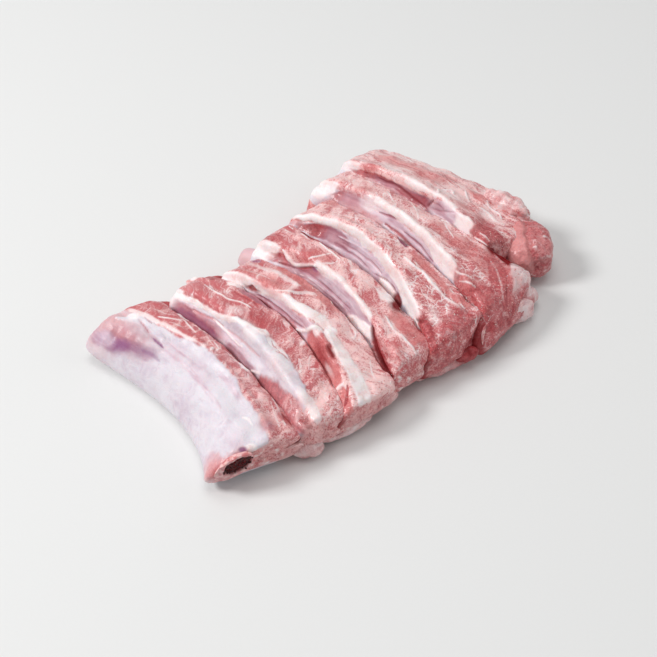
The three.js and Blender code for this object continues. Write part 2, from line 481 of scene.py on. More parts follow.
class Recipe(Graph):
    """A material's node tree while it is written."""

    def __init__(self, name: str) -> None:
        """Starts an empty material with a Principled shader on its output.

        Args:
            name: The material's name.
        """
        self.material = bpy.data.materials.new(name)
        self.material.use_nodes = True
        super().__init__(self.material.node_tree)
        self.tree.nodes.clear()
        self.shader = self.node("ShaderNodeBsdfPrincipled", {}, {})
        self.node("ShaderNodeOutputMaterial", {}, {"Surface": self.shader.outputs["BSDF"]})

    def finished(self, inputs: dict[str, object]) -> bpy.types.Material:
        """Feeds the shader.

        Args:
            inputs: The value or link of each of its sockets, by name.

        Returns:
            The material.
        """
        for name, value in inputs.items():
            self.feed(self.shader.inputs[name], value)
        return self.material

    def bump(self, relief: Value, strength: float, depth: float) -> Socket:
        """Turns relief from 0 to 1, of a depth in millimetres, into the direction that a surface faces."""
        inputs = {"Strength": strength, "Distance": depth * METRES, "Height": relief}
        return self.node("ShaderNodeBump", {}, inputs).outputs["Normal"]

    def number(self, kind: str, settings: Settings, inputs: Inputs, output: Union[str, int] = 0) -> Value:
        """Adds a node and takes one of its outputs as a number."""
        return Value(self, self.node(kind, settings, inputs).outputs[output])

    def layer(self, name: str) -> Value:
        """Reads one of the mesh's own values."""
        return self.number("ShaderNodeAttribute", {"attribute_name": name}, {}, "Fac")

    def place(self) -> Socket:
        """Gives the place on the object, in metres."""
        return self.node("ShaderNodeTexCoord", {}, {}).outputs["Object"]

    def drawn_out(self, kind: str, stretch: float) -> Socket:
        """Gives the place on one of a mesh's maps, drawn out along its first direction.

        Args:
            kind: The map's name.
            stretch: How many times longer than wide a pattern on it is.

        Returns:
            The place, in metres.
        """
        place = self.node("ShaderNodeUVMap", {"uv_map": kind}, {}).outputs["UV"]
        factors = (1 / stretch, 1.0, 1.0)
        return self.first("ShaderNodeVectorMath", {"operation": "MULTIPLY"}, {0: place, 1: factors})

    def noise(self, place: Socket, size: float, detail: float = 2.0, warp: float = 0.0) -> Value:
        """Gives soft noise from 0 to 1 with lumps of a size in millimetres, bent by itself by warp."""
        inputs = {"Vector": place, "Scale": 1 / (size * METRES), "Detail": detail, "Distortion": warp}
        return self.number("ShaderNodeTexNoise", {}, inputs, "Fac")

    def cells(self, place: Socket, size: float) -> Value:
        """Gives how far each place lies from the walls of uneven cells, in cell sizes."""
        return self.number("ShaderNodeTexVoronoi", {"feature": "DISTANCE_TO_EDGE"},
                           {"Vector": place, "Scale": 1 / (size * METRES)}, "Distance")

    def bend(self, place: Socket, size: float, reach: float) -> Socket:
        """Moves places about so that a pattern read there loses its straight edges.

        Args:
            place: The places.
            size: How far apart the bends lie, in millimetres.
            reach: How far a place moves, in millimetres.

        Returns:
            The moved places.
        """
        noise = self.node("ShaderNodeTexNoise", {}, {"Vector": place, "Scale": 1 / (size * METRES)})
        inputs = {0: noise.outputs["Color"], 1: (reach * METRES,) * 3, 2: place}
        return self.first("ShaderNodeVectorMath", {"operation": "MULTIPLY_ADD"}, inputs)

    def blend(self, share: Union[Value, float], first: object, second: object) -> Socket:
        """Mixes two colours, where the share is how much of the second shows."""
        return self.node("ShaderNodeMix", {"data_type": "RGBA"}, {0: share, 6: first, 7: second}).outputs[2]

    def weigh(self, parts: Sequence[tuple[Value, object]]) -> Socket:
        """Adds up colours by their shares.

        Args:
            parts: Each share with its colour.

        Returns:
            The colour of the whole.
        """
        total = (0.0, 0.0, 0.0)
        for share, colour in parts:
            inputs = {0: colour, 1: share, 2: total}
            total = self.first("ShaderNodeVectorMath", {"operation": "MULTIPLY_ADD"}, inputs)
        return total


def shade(red: int, green: int, blue: int) -> Colour:
    """Turns a screen colour, from 0 to 255, into the linear colour that a shader takes.

    Args:
        red: Its red.
        green: Its green.
        blue: Its blue.

    Returns:
        The linear colour.
    """
    levels = (red / 255, green / 255, blue / 255)
    first, second, third = (c / 12.92 if c <= 0.04045 else ((c + 0.055) / 1.055) ** 2.4 for c in levels)
    return first, second, third


def hand_over(piece: bpy.types.Object, node: str) -> bpy.types.Object:
    """Makes a piece stand for one of the part's nodes.

    Args:
        piece: The piece.
        node: The node.

    Returns:
        The piece.
    """
    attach(piece, BODY)
    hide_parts(node)
    return piece


# --- Finishes ---


class MeatRecipe(Recipe):
    """The meat's node tree, with the patterns that its tissues share."""

    def __init__(self) -> None:
        """Reads the mesh's own values and makes the patterns."""
        super().__init__("raw_meat")
        self.spot = self.place()
        self.bent = self.bend(self.spot, 9, 5)
        self.cut, self.pale, self.capped = (self.layer(name) for name in ("cells", "pale", "capped"))
        self.meaty = self.layer(LEAN.value) + self.layer(RAW.value) + self.layer(FLESH.value)
        self.clouds = self.noise(self.bent, 9, 2)
        self.speck = self.noise(self.spot, 0.8, 2)
        self.fleck = self.noise(self.spot, 0.5, 1)
        bundles = self.noise(self.drawn_out(GRAIN_MAP, 5), 3.2, 2, 0.3)
        self.bundles = bundles + self.capped * (self.noise(self.bent, 2.6, 2) - bundles)
        fibre = self.noise(self.drawn_out(GRAIN_MAP, 10), 0.9, 2, 0.2)
        self.fibre = fibre + self.capped * (self.speck - fibre)
        cell = self.cells(self.bend(self.bend(self.spot, 6, 2.5), 1.2, 0.7), 3.4)
        self.net = (1 - cell.rise(0.0, 0.13)) * self.noise(self.bent, 5, 2).rise(0.42, 0.58) * self.cut
        self.crinkle = self.noise(self.bend(self.spot, 5, 3), 4.5, 3, 0.5).ridge()
        mealy = 0.6 * self.noise(self.spot, 1.3, 2, 0.3) + 0.4 * self.speck
        grain = 0.3 * self.fibre + 0.3 * self.bundles + 0.15 * self.clouds + 0.25 * mealy
        grain = grain + self.cut * 0.8 * (mealy - grain) + 0.16 * (self.fleck - 0.5)
        self.grain = grain.rise(0.36, 0.62)
        self.folds = 0.5 * self.noise(self.drawn_out(RUN_MAP, 7), 2.4, 2, 0.4) + 0.5 * self.clouds


@dataclass(frozen=True)
class MeatFinish:
    """Moist raw meat with marbling, under membrane and fat in places.

    Attributes:
        lean_deep: Lean meat between its marbling.
        lean_pale: Lean meat with much fat in it.
        marbling: The fine fat threads in lean meat.
        flesh: Smooth muscle without marbling.
        flesh_deep: Its darker fibres.
        raw: Dark cut muscle.
        raw_deep: Its darkest fibres.
        film: Clean membrane.
        film_cool: Membrane over the bone, a little lilac.
        lilac: Thin membrane that looks lavender.
        lilac_deep: Its shaded wrinkles.
        fat: Clean fat.
        fat_warm: Fat with some pink in it.
        mauve: Membrane that looks mauve: partly dark meat right under it, partly painted shade where it lies
            in a valley under the lip of the rib before.
        mauve_deep: Its darker wrinkles.
        bruise: Purple blood under the membrane.
        blood_and_shade: Wet blood, and painted shade, dark red in the slits, creases and hidden places.
    """

    lean_deep: Colour = shade(200, 104, 108)
    lean_pale: Colour = shade(249, 205, 203)
    marbling: Colour = shade(254, 240, 240)
    flesh: Colour = shade(222, 136, 134)
    flesh_deep: Colour = shade(196, 100, 102)
    raw: Colour = shade(196, 84, 88)
    raw_deep: Colour = shade(150, 40, 48)
    film: Colour = shade(226, 218, 225)
    film_cool: Colour = shade(207, 190, 203)
    lilac: Colour = shade(230, 208, 218)
    lilac_deep: Colour = shade(198, 156, 172)
    fat: Colour = shade(252, 242, 242)
    fat_warm: Colour = shade(242, 214, 212)
    # partly painted shade: the mauve laid in the valleys under a lip
    mauve: Colour = shade(192, 134, 146)
    mauve_deep: Colour = shade(158, 90, 106)
    bruise: Colour = shade(134, 70, 122)
    # wet blood and painted shade: the dark red of the slits, creases and hidden places
    blood_and_shade: Colour = shade(128, 8, 16)

    def _lean(self, recipe: MeatRecipe) -> Socket:
        """Gives lean meat: bundles of fibres, and marbling in seams, threads, cells and veils.

        Args:
            recipe: The meat's node tree.

        Returns:
            The colour.
        """
        mottle = 0.22 * recipe.clouds + 0.52 * recipe.bundles + 0.16 * recipe.fibre + 0.1 * recipe.speck
        mottle = mottle + 0.22 * (recipe.fleck - 0.5) + 0.44 * recipe.cut * (recipe.speck - 0.5)
        tone = (mottle + 0.26 * (recipe.pale - 0.5)).rise(0.4, 0.61)
        fibres = recipe.bend(recipe.drawn_out(GRAIN_MAP, 7), 8, 1.6)
        seams = recipe.noise(fibres, 5, 1, 0.1).ridge().rise(0.955, 1.0)
        seams = 0.6 * seams * recipe.noise(recipe.bent, 11, 1).rise(0.42, 0.6)
        threads = recipe.noise(fibres, 1.8, 1, 0.1).ridge().rise(0.9, 1.0)
        threads = 0.45 * threads * recipe.noise(recipe.bent, 8, 2).rise(0.45, 0.62)
        veil = 0.3 * recipe.noise(recipe.bent, 13, 3, 0.4).rise(0.5, 0.72) * (0.4 + recipe.pale)
        shown = recipe.layer("feather") * (1 - 0.6 * recipe.capped)
        marbled = ((seams + threads + 0.85 * recipe.net + veil) * shown).rise(0.0, 1.2)
        return recipe.blend(marbled, recipe.blend(tone, self.lean_deep, self.lean_pale), self.marbling)

    def _colour(self, recipe: MeatRecipe) -> Socket:
        """Adds up the tissues' colours by how much of each shows.

        Args:
            recipe: The meat's node tree.

        Returns:
            The colour.
        """
        stain = 0.7 * recipe.noise(recipe.bent, 12, 3) + 0.3 * (1 - recipe.crinkle)
        marbling = 0.7 * recipe.noise(recipe.bent, 6, 3) + 0.3 * recipe.speck
        shown = {
            LEAN: self._lean(recipe),
            FLESH: recipe.blend(recipe.grain, self.flesh_deep, self.flesh),
            RAW: recipe.blend(recipe.grain, self.raw_deep, self.raw),
            FILM: recipe.blend(stain.rise(0.3, 0.66), self.film, self.film_cool),
            LILAC: recipe.blend(recipe.folds.rise(0.36, 0.6), self.lilac_deep, self.lilac),
            MAUVE: recipe.blend(recipe.folds.rise(0.36, 0.62), self.mauve_deep, self.mauve),
            FAT: recipe.blend(marbling.rise(0.44, 0.68), self.fat, self.fat_warm),
            BRUISE: self.bruise,
            BLOOD_AND_SHADE: self.blood_and_shade,
        }
        return recipe.weigh([(recipe.layer(tissue.value), colour) for tissue, colour in shown.items()])

    def make(self) -> bpy.types.Material:
        """Writes the material.

        Returns:
            The material.
        """
        recipe = MeatRecipe()
        film, lilac, blood_and_shade = (recipe.layer(tissue.value) for tissue in (FILM, LILAC, BLOOD_AND_SHADE))
        rough = 0.35 + 0.24 * recipe.noise(recipe.spot, 2.6, 2)
        rough = rough - 0.05 * film + 0.15 * blood_and_shade - 0.08 * recipe.meaty
        relief = 0.5 * recipe.fibre + 0.4 * recipe.speck + 0.4 * recipe.noise(recipe.spot, 1.6, 2)
        relief = relief + 0.2 * recipe.fleck * recipe.meaty - 0.3 * recipe.net
        relief = relief + 1.4 * recipe.crinkle * (film + lilac)
        return recipe.finished({
            "Base Color": self._colour(recipe),
            "Roughness": rough,
            "Normal": recipe.bump(relief, 0.55, 0.3),
            "Coat Weight": (0.06 + 0.4 * recipe.meaty * (0.4 + 0.6 * recipe.cut)) * (1 - blood_and_shade),
            "Coat Roughness": 0.14,
            "IOR": 1.37,
            "Subsurface Weight": 0.18,
            "Subsurface Radius": (1.0, 0.4, 0.3),
            "Subsurface Scale": 0.0018,
        })


@dataclass(frozen=True)
class BoneFinish:
    """A cut bone: pale cortex round dark, spongy marrow, and a soft pink stub.

    Attributes:
        cortex: The hard wall.
        cortex_pink: The wall where blood has stained it.
        stub: The lavender skin over a bone that stands out.
        stub_cut: Its cut tip.
        marrow: The marrow's open cells, its own dark red darkened further as painted shade in the pits.
        marrow_lit: The walls between its cells, a lighter, lit copy of the marrow's red.
    """

    cortex: Colour = shade(236, 190, 188)
    cortex_pink: Colour = shade(206, 122, 124)
    stub: Colour = shade(222, 184, 188)
    stub_cut: Colour = shade(226, 152, 132)
    marrow: Colour = shade(62, 2, 8)
    marrow_lit: Colour = shade(128, 30, 36)

    def make(self) -> bpy.types.Material:
        """Writes the material.

        Returns:
            The material.
        """
        recipe = Recipe("cut_bone")
        place, hollow = recipe.place(), recipe.layer("marrow")
        sponge = recipe.cells(recipe.bend(place, 2, 1.2), 1.1).rise(0.02, 0.25)
        # the marrow's red as a lit copy on the cell walls and a shaded copy in the pits: painted light and
        # shade
        marrow = recipe.blend(sponge, self.marrow_lit, self.marrow)
        cortex = recipe.blend(recipe.noise(place, 1.8, 3).rise(0.4, 0.62), self.cortex, self.cortex_pink)
        stub = recipe.blend(recipe.layer("tip"), self.stub, self.stub_cut)
        relief = (1 - sponge) * hollow + 0.2 * recipe.noise(place, 0.9, 2)
        return recipe.finished({
            "Base Color": recipe.blend(hollow, recipe.blend(recipe.layer("skin"), cortex, stub), marrow),
            "Roughness": 0.36 + 0.2 * recipe.noise(place, 1.4, 2) + 0.3 * hollow,
            "Normal": recipe.bump(relief, 0.5, 0.4),
            "IOR": 1.35,
            "Subsurface Weight": 0.1,
            "Subsurface Scale": 0.0012,
        })


@dataclass(frozen=True)
class CrumbFinish:
    """Small crumbs and shreds of one tone.

    Attributes:
        name: The material's name.
        tone: Its colour.
        deep: Its darker colour.
    """

    name: str
    tone: Colour
    deep: Colour

    def make(self) -> bpy.types.Material:
        """Writes the material.

        Returns:
            The material.
        """
        recipe = Recipe(self.name)
        mottle = recipe.noise(recipe.place(), 1.5, 2).rise(0.4, 0.6)
        colour = recipe.blend(mottle, self.tone, self.deep)
        return recipe.finished({"Base Color": colour, "Roughness": 0.4, "Subsurface Weight": 0.2,
                                "Subsurface Scale": 0.001})


@dataclass(frozen=True)
class FloorFinish:
    """A plain pale table.

    Attributes:
        tone: Its colour.
        speck: The colour of its faint specks.
    """

    tone: Colour = shade(230, 230, 229)
    speck: Colour = shade(210, 210, 208)

    def make(self) -> bpy.types.Material:
        """Writes the material.

        Returns:
            The material.
        """
        recipe = Recipe("pale_table")
        specks = 0.1 * recipe.noise(recipe.place(), 1.2, 2)
        return recipe.finished({"Base Color": recipe.blend(specks, self.tone, self.speck), "Roughness": 0.72})


# --- The ribs ---


@dataclass(frozen=True)
class Slit:
    """The cut that parts two ribs.

    Attributes:
        floor: The height of its floor.
        floor_at_far_end: The height of its floor where the ribs join at their far ends.
        closed_share: The share of a rib over which that floor falls.
        undercut: How far a rib's side falls back under its lip.
        overlap: How far a rib reaches under the next one.
        near_overlap: How far it still does at its near end.
    """

    floor: float = 8.0
    floor_at_far_end: float = 16.0
    closed_share: float = 0.14
    undercut: float = 2.5
    overlap: float = 9.0
    near_overlap: float = 3.0


@dataclass(frozen=True)
class RibForm:
    """One rib's driving sizes, each at its far end, its middle and its near end.

    Attributes:
        crest_x: Where its crest runs across the rack.
        crest_y: Where its crest runs along the rack.
        crest_z: Its crest's height.
        face: How far its bone side lies from its crest.
        meat: How far its meat side lies from its crest.
        lip: The height of its meat side's edge.
        dip: How far its membrane sinks behind its crest.
        turn: How far its sections are turned, in degrees.
        far_keep: The share of its section that is left at its far end.
        foot: How far its near end runs out at the floor.
        dome: How far its near end bulges out.
        outermost: Whether no rib lies beyond it.
    """

    crest_x: Triple
    crest_y: Triple
    crest_z: Triple
    face: Triple
    meat: Triple
    lip: Triple
    dip: Triple
    turn: Triple
    far_keep: float
    foot: float
    dome: float = 3.5
    outermost: bool = False

    SLIT = Slit()
    PLAN_ORIGIN = (-1.09, -2.26)
    FAR_ROUND, NEAR_ROUND, NEAR_KEEP = 7.0, 4.0, 0.86
    FOOT_SHARE, FOOT_HEIGHT = 0.25, 24.0
    LIFT, LIFT_FLAT, LIFT_FADES = 4.0, 0.4, 40.0
    HEART_ACROSS, HEART_HEIGHT = 0.3, 0.42

    @property
    def length(self) -> float:
        """The rib's length."""
        return self.crest_y[0] - self.crest_y[2]

    @property
    def corners(self) -> int:
        """How many control points its section has."""
        return 21 if self.outermost else 23

    def _controls(self, share: Array) -> Array:
        """Gives the section's control points at each station.

        Args:
            share: The stations.

        Returns:
            Distances across the rib and heights, by station and control point.
        """
        face, meat, crest, lip, dip = (along(size, share)
                                       for size in (self.face, self.meat, self.crest_z, self.lip, self.dip))
        slit = self.SLIT
        closing = 1 - smoothstep(0, slit.closed_share, share)
        floor = lerp(slit.floor, slit.floor_at_far_end, closing)
        overlap = lerp(slit.overlap, slit.near_overlap, smoothstep(0.8, 1, share))
        wall = meat - slit.undercut * (1 - closing)
        nil = np.zeros_like(share)
        pairs = [(3 - face, nil), (-face, nil + 1.5), (-face - 0.5, 0.25 * crest),
                 (-0.85 * face, 0.58 * crest - 0.7 * dip), (-0.55 * face, 0.84 * crest - dip),
                 (-0.38 * face, 0.9 * crest - 0.9 * dip), (-0.2 * face, 0.91 * crest - 0.45 * dip),
                 (nil - 0.8, crest), (nil + 1.6, crest + 0.3), (0.3 * meat, 0.55 * crest + 0.45 * lip + 1.2),
                 (0.65 * meat, 0.3 * crest + 0.7 * lip + 1.4), (meat - 1.5, lip + 0.8), (meat, lip - 0.2),
                 (meat - 0.4, lip - 2.2)]
        if self.outermost:
            pairs += [(meat + 1.5, 0.6 * lip), (meat + 1.5, 0.3 * lip), (meat - 1, nil + 1), (meat - 5, nil)]
        else:
            under = meat + overlap
            pairs += [(wall, 0.45 * lip + 0.55 * floor), (wall + 0.6, floor + 1),
                      (meat + 0.4 * overlap, floor - 1), (under, floor - 4), (under, nil + 1), (meat, nil)]
        pairs += [(0.5 * meat, nil), (nil, nil), (-0.5 * face, nil)]
        return np.array([[across, height] for across, height in pairs]).transpose(2, 0, 1)

    def section(self, share: Array, places: Array) -> Array:
        """Gives the whole section at each station.

        Args:
            share: The stations.
            places: Places round the section, counted in control points.

        Returns:
            Distances across the rib and heights, by station and place.
        """
        controls = self._controls(share)
        first = np.floor(places).astype(int)
        part = places - first
        weights = (0.5 * (1 - part) ** 2, 0.5 + part * (1 - part), 0.5 * part * part)
        count = controls.shape[1]
        return sum(weight[None, :, None] * controls[:, (first + step - 1) % count]
                   for step, weight in enumerate(weights))

    def shrunk(self, share: Array, places: Array, inward: Array) -> Array:
        """Gives the sections drawn in towards their hearts, as the rounded ends are.

        Args:
            share: The stations.
            places: Places round the section.
            inward: The share of each section that is left, beside the ends' own rounding.

        Returns:
            Distances across the rib and heights, by station and place.
        """
        left = rounded(share * self.length, self.FAR_ROUND, self.far_keep)
        left = left * rounded((1 - share) * self.length, self.NEAR_ROUND, self.NEAR_KEEP) * inward
        across = self.HEART_ACROSS * (along(self.meat, share) - along(self.face, share))
        heart = np.stack([across, self.HEART_HEIGHT * along(self.crest_z, share)], -1)[:, None]
        return heart + (self.section(share, places) - heart) * left[:, None, None]

    def placed(self, share: Array, pairs: Array) -> Array:
        """Puts section points in their place in the rack.

        Args:
            share: The stations.
            pairs: Distances across the rib and heights, by station and place.

        Returns:
            The points.
        """
        share = np.broadcast_to(share[:, None], pairs.shape[:2])
        across, height = pairs[..., 0], pairs[..., 1]
        turn = np.radians(along(self.turn, share))
        foot = self.foot * smoothstep(1 - self.FOOT_SHARE, 1, share) * (0.5 - height / self.FOOT_HEIGHT)
        from_flat = np.maximum(0, (np.abs(2 * share - 1) - self.LIFT_FLAT) / (1 - self.LIFT_FLAT))
        x = along(self.crest_x, share) - self.PLAN_ORIGIN[0] + across * np.cos(turn)
        y = along(self.crest_y, share) - self.PLAN_ORIGIN[1] + across * np.sin(turn) - foot
        z = height + self.LIFT * from_flat ** 2 * (1 - height / self.LIFT_FADES)
        return np.stack([x, y, z], -1)


RELIEF_HEIGHT = 0.8
RELIEF_WAVES = (17, 11, 7)
RELIEF_TURN = 1.3
RELIEF_STRETCH = 0.7


def rolling(points: Array) -> Array:
    """Gives the rack's broad unevenness.

    Args:
        points: Places on the rack.

    Returns:
        How far each rises.
    """
    total = 0.0
    for step, wave in enumerate(RELIEF_WAVES):
        turn, pace = RELIEF_TURN * (step + 1), 2 * math.pi / wave
        u = points[..., 0] * math.cos(turn) + points[..., 1] * math.sin(turn)
        v = points[..., 1] * math.cos(turn) - points[..., 0] * math.sin(turn)
        waves = np.sin(pace * u + turn) * np.cos(RELIEF_STRETCH * pace * v)
        total = total + RELIEF_HEIGHT * waves / (step + 1)
    return total


@dataclass
class Rib:
    """One rib of the rack: its meat and membrane.

    Attributes:
        number: Which rib it is, from 1.
        form: Its driving sizes.
        fibre_turn: How far its fibres are turned from its length, far, middle and near, in degrees.
        cells: How much of its fat lies round cells of meat, far, middle and near.
        pale: How pale its lean meat is, far, middle and near.
        near_end: How much dark muscle, smooth muscle and fat its near end shows.
        hidden: The section places below which the rib before it hides it, far, middle and near; shade is
            painted below them.
        features: What lies on it, in the order it is laid.
        rows: How many rings it has along its length.
        columns: How many points a ring has.
        cap_rows: How many rings close each end.
    """

    number: int
    form: RibForm
    fibre_turn: Triple = (-30, -60, -20)
    cells: Triple = (0.2, 0.4, 0.5)
    pale: Triple = (0.5, 0.5, 0.5)
    near_end: Triple = (0.45, 0.3, 0.25)
    hidden: Triple = (-2.0, -2.0, -2.0)
    features: tuple[Feature, ...] = ()
    rows: int = 216
    columns: int = 206
    cap_rows: int = 18

    FIRST_PLACE, SHOWN_FROM, SHOWN_TO = -3.0, -0.5, 14.5
    CREST, LIP, WALL, SLIT_FLOOR = 7.5, 12.0, 13.4, 15.5
    SOFTEN, LOWER, RAISED_FADE, SUNK_FADE, END_WANDER = 0.75, 0.45, 1.2, 4.0, 2.5
    EVENNESS, HIDDEN_SPACING, END_CROWDING = 0.6, 0.35, 0.35

    def _places(self) -> Array:
        """Spreads a ring's points: close together where it shows, further apart underneath.

        Returns:
            The section places.
        """
        fine = np.linspace(self.FIRST_PLACE, self.FIRST_PLACE + self.form.corners, 3000)
        path = self.form.section(np.array([0.5]), fine)[0]
        steps = np.linalg.norm(np.diff(path, axis=0), axis=1)
        shown = (fine[1:] > self.SHOWN_FROM) & (fine[1:] < self.SHOWN_TO)
        travel = np.concatenate([[0], np.cumsum(steps * np.where(shown, 1.0, self.HIDDEN_SPACING))])
        return np.interp(np.linspace(0, travel[-1], self.columns, endpoint=False), travel, fine)

    def _stations(self) -> tuple[Array, Array, Array]:
        """Spreads the rings: the caps' rings draw in to the middle of each end.

        Returns:
            Each ring's share along the rib, the share of its section that is left, and how far into a cap it
            lies: below 0 at the far end, above 0 at the near end.
        """
        body = np.linspace(0, 1, self.rows)
        body = lerp(body, 0.5 - 0.5 * np.cos(math.pi * body), self.END_CROWDING)
        inward = np.linspace(1, 0, self.cap_rows, endpoint=False)[:0:-1]
        share = np.concatenate([np.zeros(len(inward)), body, np.ones(len(inward))])
        keep = np.concatenate([inward, np.ones(self.rows), inward[::-1]])
        cap = np.concatenate([inward - 1, np.zeros(self.rows), 1 - inward[::-1]])
        return share, keep, cap

    def _lay_out(self) -> None:
        """Makes the smooth skin and the coordinates along and across it."""
        self.places = self._places()
        share, keep, cap = self._stations()
        pairs = self.form.shrunk(share, self.places, keep)
        rings = self.form.placed(share, pairs)
        rings[..., 2] += self.EVENNESS * rolling(rings) * smoothstep(3, 10, pairs[..., 1])
        bulge = self.form.dome * (1 - keep ** 2) * (share == 1)
        rings[..., 1] -= bulge[:, None] * smoothstep(0, 6, rings[..., 2])
        self.skin = Skin(rings)
        self.share = share
        self.cap = cap
        crest = int(np.argmin(np.abs(self.places - self.CREST)))
        section = self.form.placed(share, self.form.section(share, self.places))
        steps = np.linalg.norm(np.diff(section, axis=1, append=section[:, :1]), axis=-1)
        travel = np.concatenate([np.zeros((len(share), 1)), np.cumsum(steps, axis=1)[:, :-1]], axis=1)
        self.across = travel - travel[:, crest:crest + 1]
        lengthwise = share * self.form.length + cap * 0.5 * along(self.form.crest_z, share)
        self.lengthwise = np.broadcast_to(lengthwise[:, None], self.across.shape)
        self.place_of = np.broadcast_to(self.places, self.across.shape)
        self.paint = {tissue: np.zeros(self.across.shape) for tissue in Tissue}
        self.paint[LEAN] += 1
        self.height = np.zeros(self.across.shape)
        flat = np.stack([self.lengthwise, self.across, np.full(self.across.shape, self.number * 31.0)], -1)
        self.edge_wander = Grain(5, 40 + self.number, 4).at(flat)
        self.swell = 1 + 0.45 * Grain(11, 60 + self.number, 2).at(flat)

    def lay(self, tissue: Tissue, cover: Array, height: Union[float, Array] = 0.0) -> None:
        """Puts a tissue on the skin.

        Args:
            tissue: What is laid.
            cover: How much of what lies beneath it hides, at each point.
            height: How far it stands up where it covers all.
        """
        for other in self.paint:
            self.paint[other] = self.paint[other] * (1 - cover)
        self.paint[tissue] = self.paint[tissue] + cover
        self.height = self.height + cover * height

    def _across_at(self, share: Array, place: Array) -> Array:
        """Gives how far from the crest a section place lies at a share along the rib.

        Args:
            share: The shares.
            place: The section places.

        Returns:
            The distances.
        """
        body = slice(self.cap_rows - 1, self.cap_rows - 1 + self.rows)
        shares, table = self.share[body], self.across[body]
        row = np.interp(np.clip(share, 0, 1), shares, np.arange(len(shares)))
        low = np.clip(np.floor(row).astype(int), 0, len(shares) - 2)
        part = row - low
        before = np.array([np.interp(p, self.places, table[r]) for p, r in zip(place, low)])
        after = np.array([np.interp(p, self.places, table[r + 1]) for p, r in zip(place, low)])
        return lerp(before, after, part)

    def _route(self, spots: Sequence[Spot]) -> Array:
        """Turns spots into a smooth run of places on the skin.

        Args:
            spots: Percents along the rib with section places.

        Returns:
            Places along and across the skin, about half a millimetre apart.
        """
        points = np.array(spots) / (100, 1)
        flat = np.stack([points[:, 0] * self.form.length, self._across_at(points[:, 0], points[:, 1])], -1)
        travel = np.concatenate([[0], np.cumsum(np.linalg.norm(np.diff(flat, axis=0), axis=1))])
        fine = np.linspace(0, travel[-1], max(8, int(travel[-1] / 0.6)))
        run = np.stack([np.interp(fine, travel, flat[:, axis]) for axis in (0, 1)], -1)
        window = np.hanning(9) / np.hanning(9).sum()
        padded = np.concatenate([np.repeat(run[:1], 4, 0), run, np.repeat(run[-1:], 4, 0)])
        return np.stack([np.convolve(padded[:, axis], window, "valid") for axis in (0, 1)], -1)

    def _lay_seam(self, seam: Seam) -> None:
        """Lays one seam.

        Args:
            seam: The seam.
        """
        run = self._route(seam.route)
        reach = seam.width * 1.5 + 1
        low, high = run.min(0) - reach, run.max(0) + reach
        spots = np.stack([self.lengthwise, self.across], -1)
        near = ((spots > low) & (spots < high)).all(-1)
        if not near.any():
            return
        spots = spots[near]
        gaps = np.linalg.norm(spots[:, None] - run[None], axis=-1)
        closest = gaps.argmin(1)
        share = closest / max(1, len(run) - 1)
        taper = lerp(seam.taper, 1, np.sqrt(np.clip(np.sin(math.pi * share), 0, 1)))
        half = 0.5 * seam.width * taper * (1 + 0.35 * self.edge_wander[near])
        cover = np.zeros(self.across.shape)
        cover[near] = smoothstep(1.4, 0.4, gaps.min(1) / np.maximum(half, 0.05)) * seam.strength
        self.lay(seam.tissue, cover, seam.height)

    def _lay_patch(self, patch: Patch) -> None:
        """Lays one patch.

        Args:
            patch: The patch.
        """
        centre = self._route((patch.at, patch.at))[0]
        turn = math.radians(patch.turn)
        u, v = self.lengthwise - centre[0], self.across - centre[1]
        along_it = (u * math.cos(turn) + v * math.sin(turn)) / (0.5 * patch.size[0])
        across_it = (v * math.cos(turn) - u * math.sin(turn)) / (0.5 * patch.size[1])
        gap = np.hypot(along_it, across_it) + 0.45 * self.edge_wander
        cover = smoothstep(1 + patch.soft / 2, 1 - patch.soft / 2, gap) * patch.strength
        self.lay(patch.tissue, cover, patch.height)

    def _lay_band(self, band: Band) -> None:
        """Lays one band, which swells in its middle where it stands up.

        Args:
            band: The band.
        """
        edges = np.array(band.edges) / (100, 1, 1)
        shares = np.clip(self.lengthwise / self.form.length, edges[0, 0] - 0.001, edges[-1, 0] + 0.001)
        low = np.interp(shares, edges[:, 0], edges[:, 1])
        high = np.interp(shares, edges[:, 0], edges[:, 2])
        slope = np.gradient(self.across, axis=1) / np.maximum(np.gradient(self.place_of, axis=1), 1e-6)
        gap = np.minimum(self.place_of - low, high - self.place_of) * slope + band.ragged * self.edge_wander
        first, last = edges[[0, -1], 0] * self.form.length
        beyond = np.maximum(first - self.lengthwise, self.lengthwise - last)
        fade = self.RAISED_FADE if band.height > 0 else self.SUNK_FADE
        inside = smoothstep(-fade, fade, self.END_WANDER * self.edge_wander - beyond)
        middle = np.clip((self.place_of - low) / np.maximum(high - low, 0.01), 0, 1)
        dome = 0.35 + 0.65 * np.sqrt(4 * middle * (1 - middle)) * self.swell
        cover = smoothstep(-0.5, 0.5, gap / (band.soft * self.SOFTEN)) * inside * band.strength
        self.lay(band.tissue, cover, self.LOWER * band.height * dome)

    def _lay_slit(self) -> None:
        """Whitens stretches of the lip, and darkens the slits' floors and the sides that face them with
        cut-meat colours that are partly the meat's own red and partly painted shade.
        """
        place = self.place_of + self.edge_wander * 0.5
        rim = np.exp(-((place - self.LIP + 0.3) / 0.3) ** 2) * smoothstep(0.0, 0.5, self.swell - 1)
        self.lay(FAT, 0.75 * rim, 0.3)
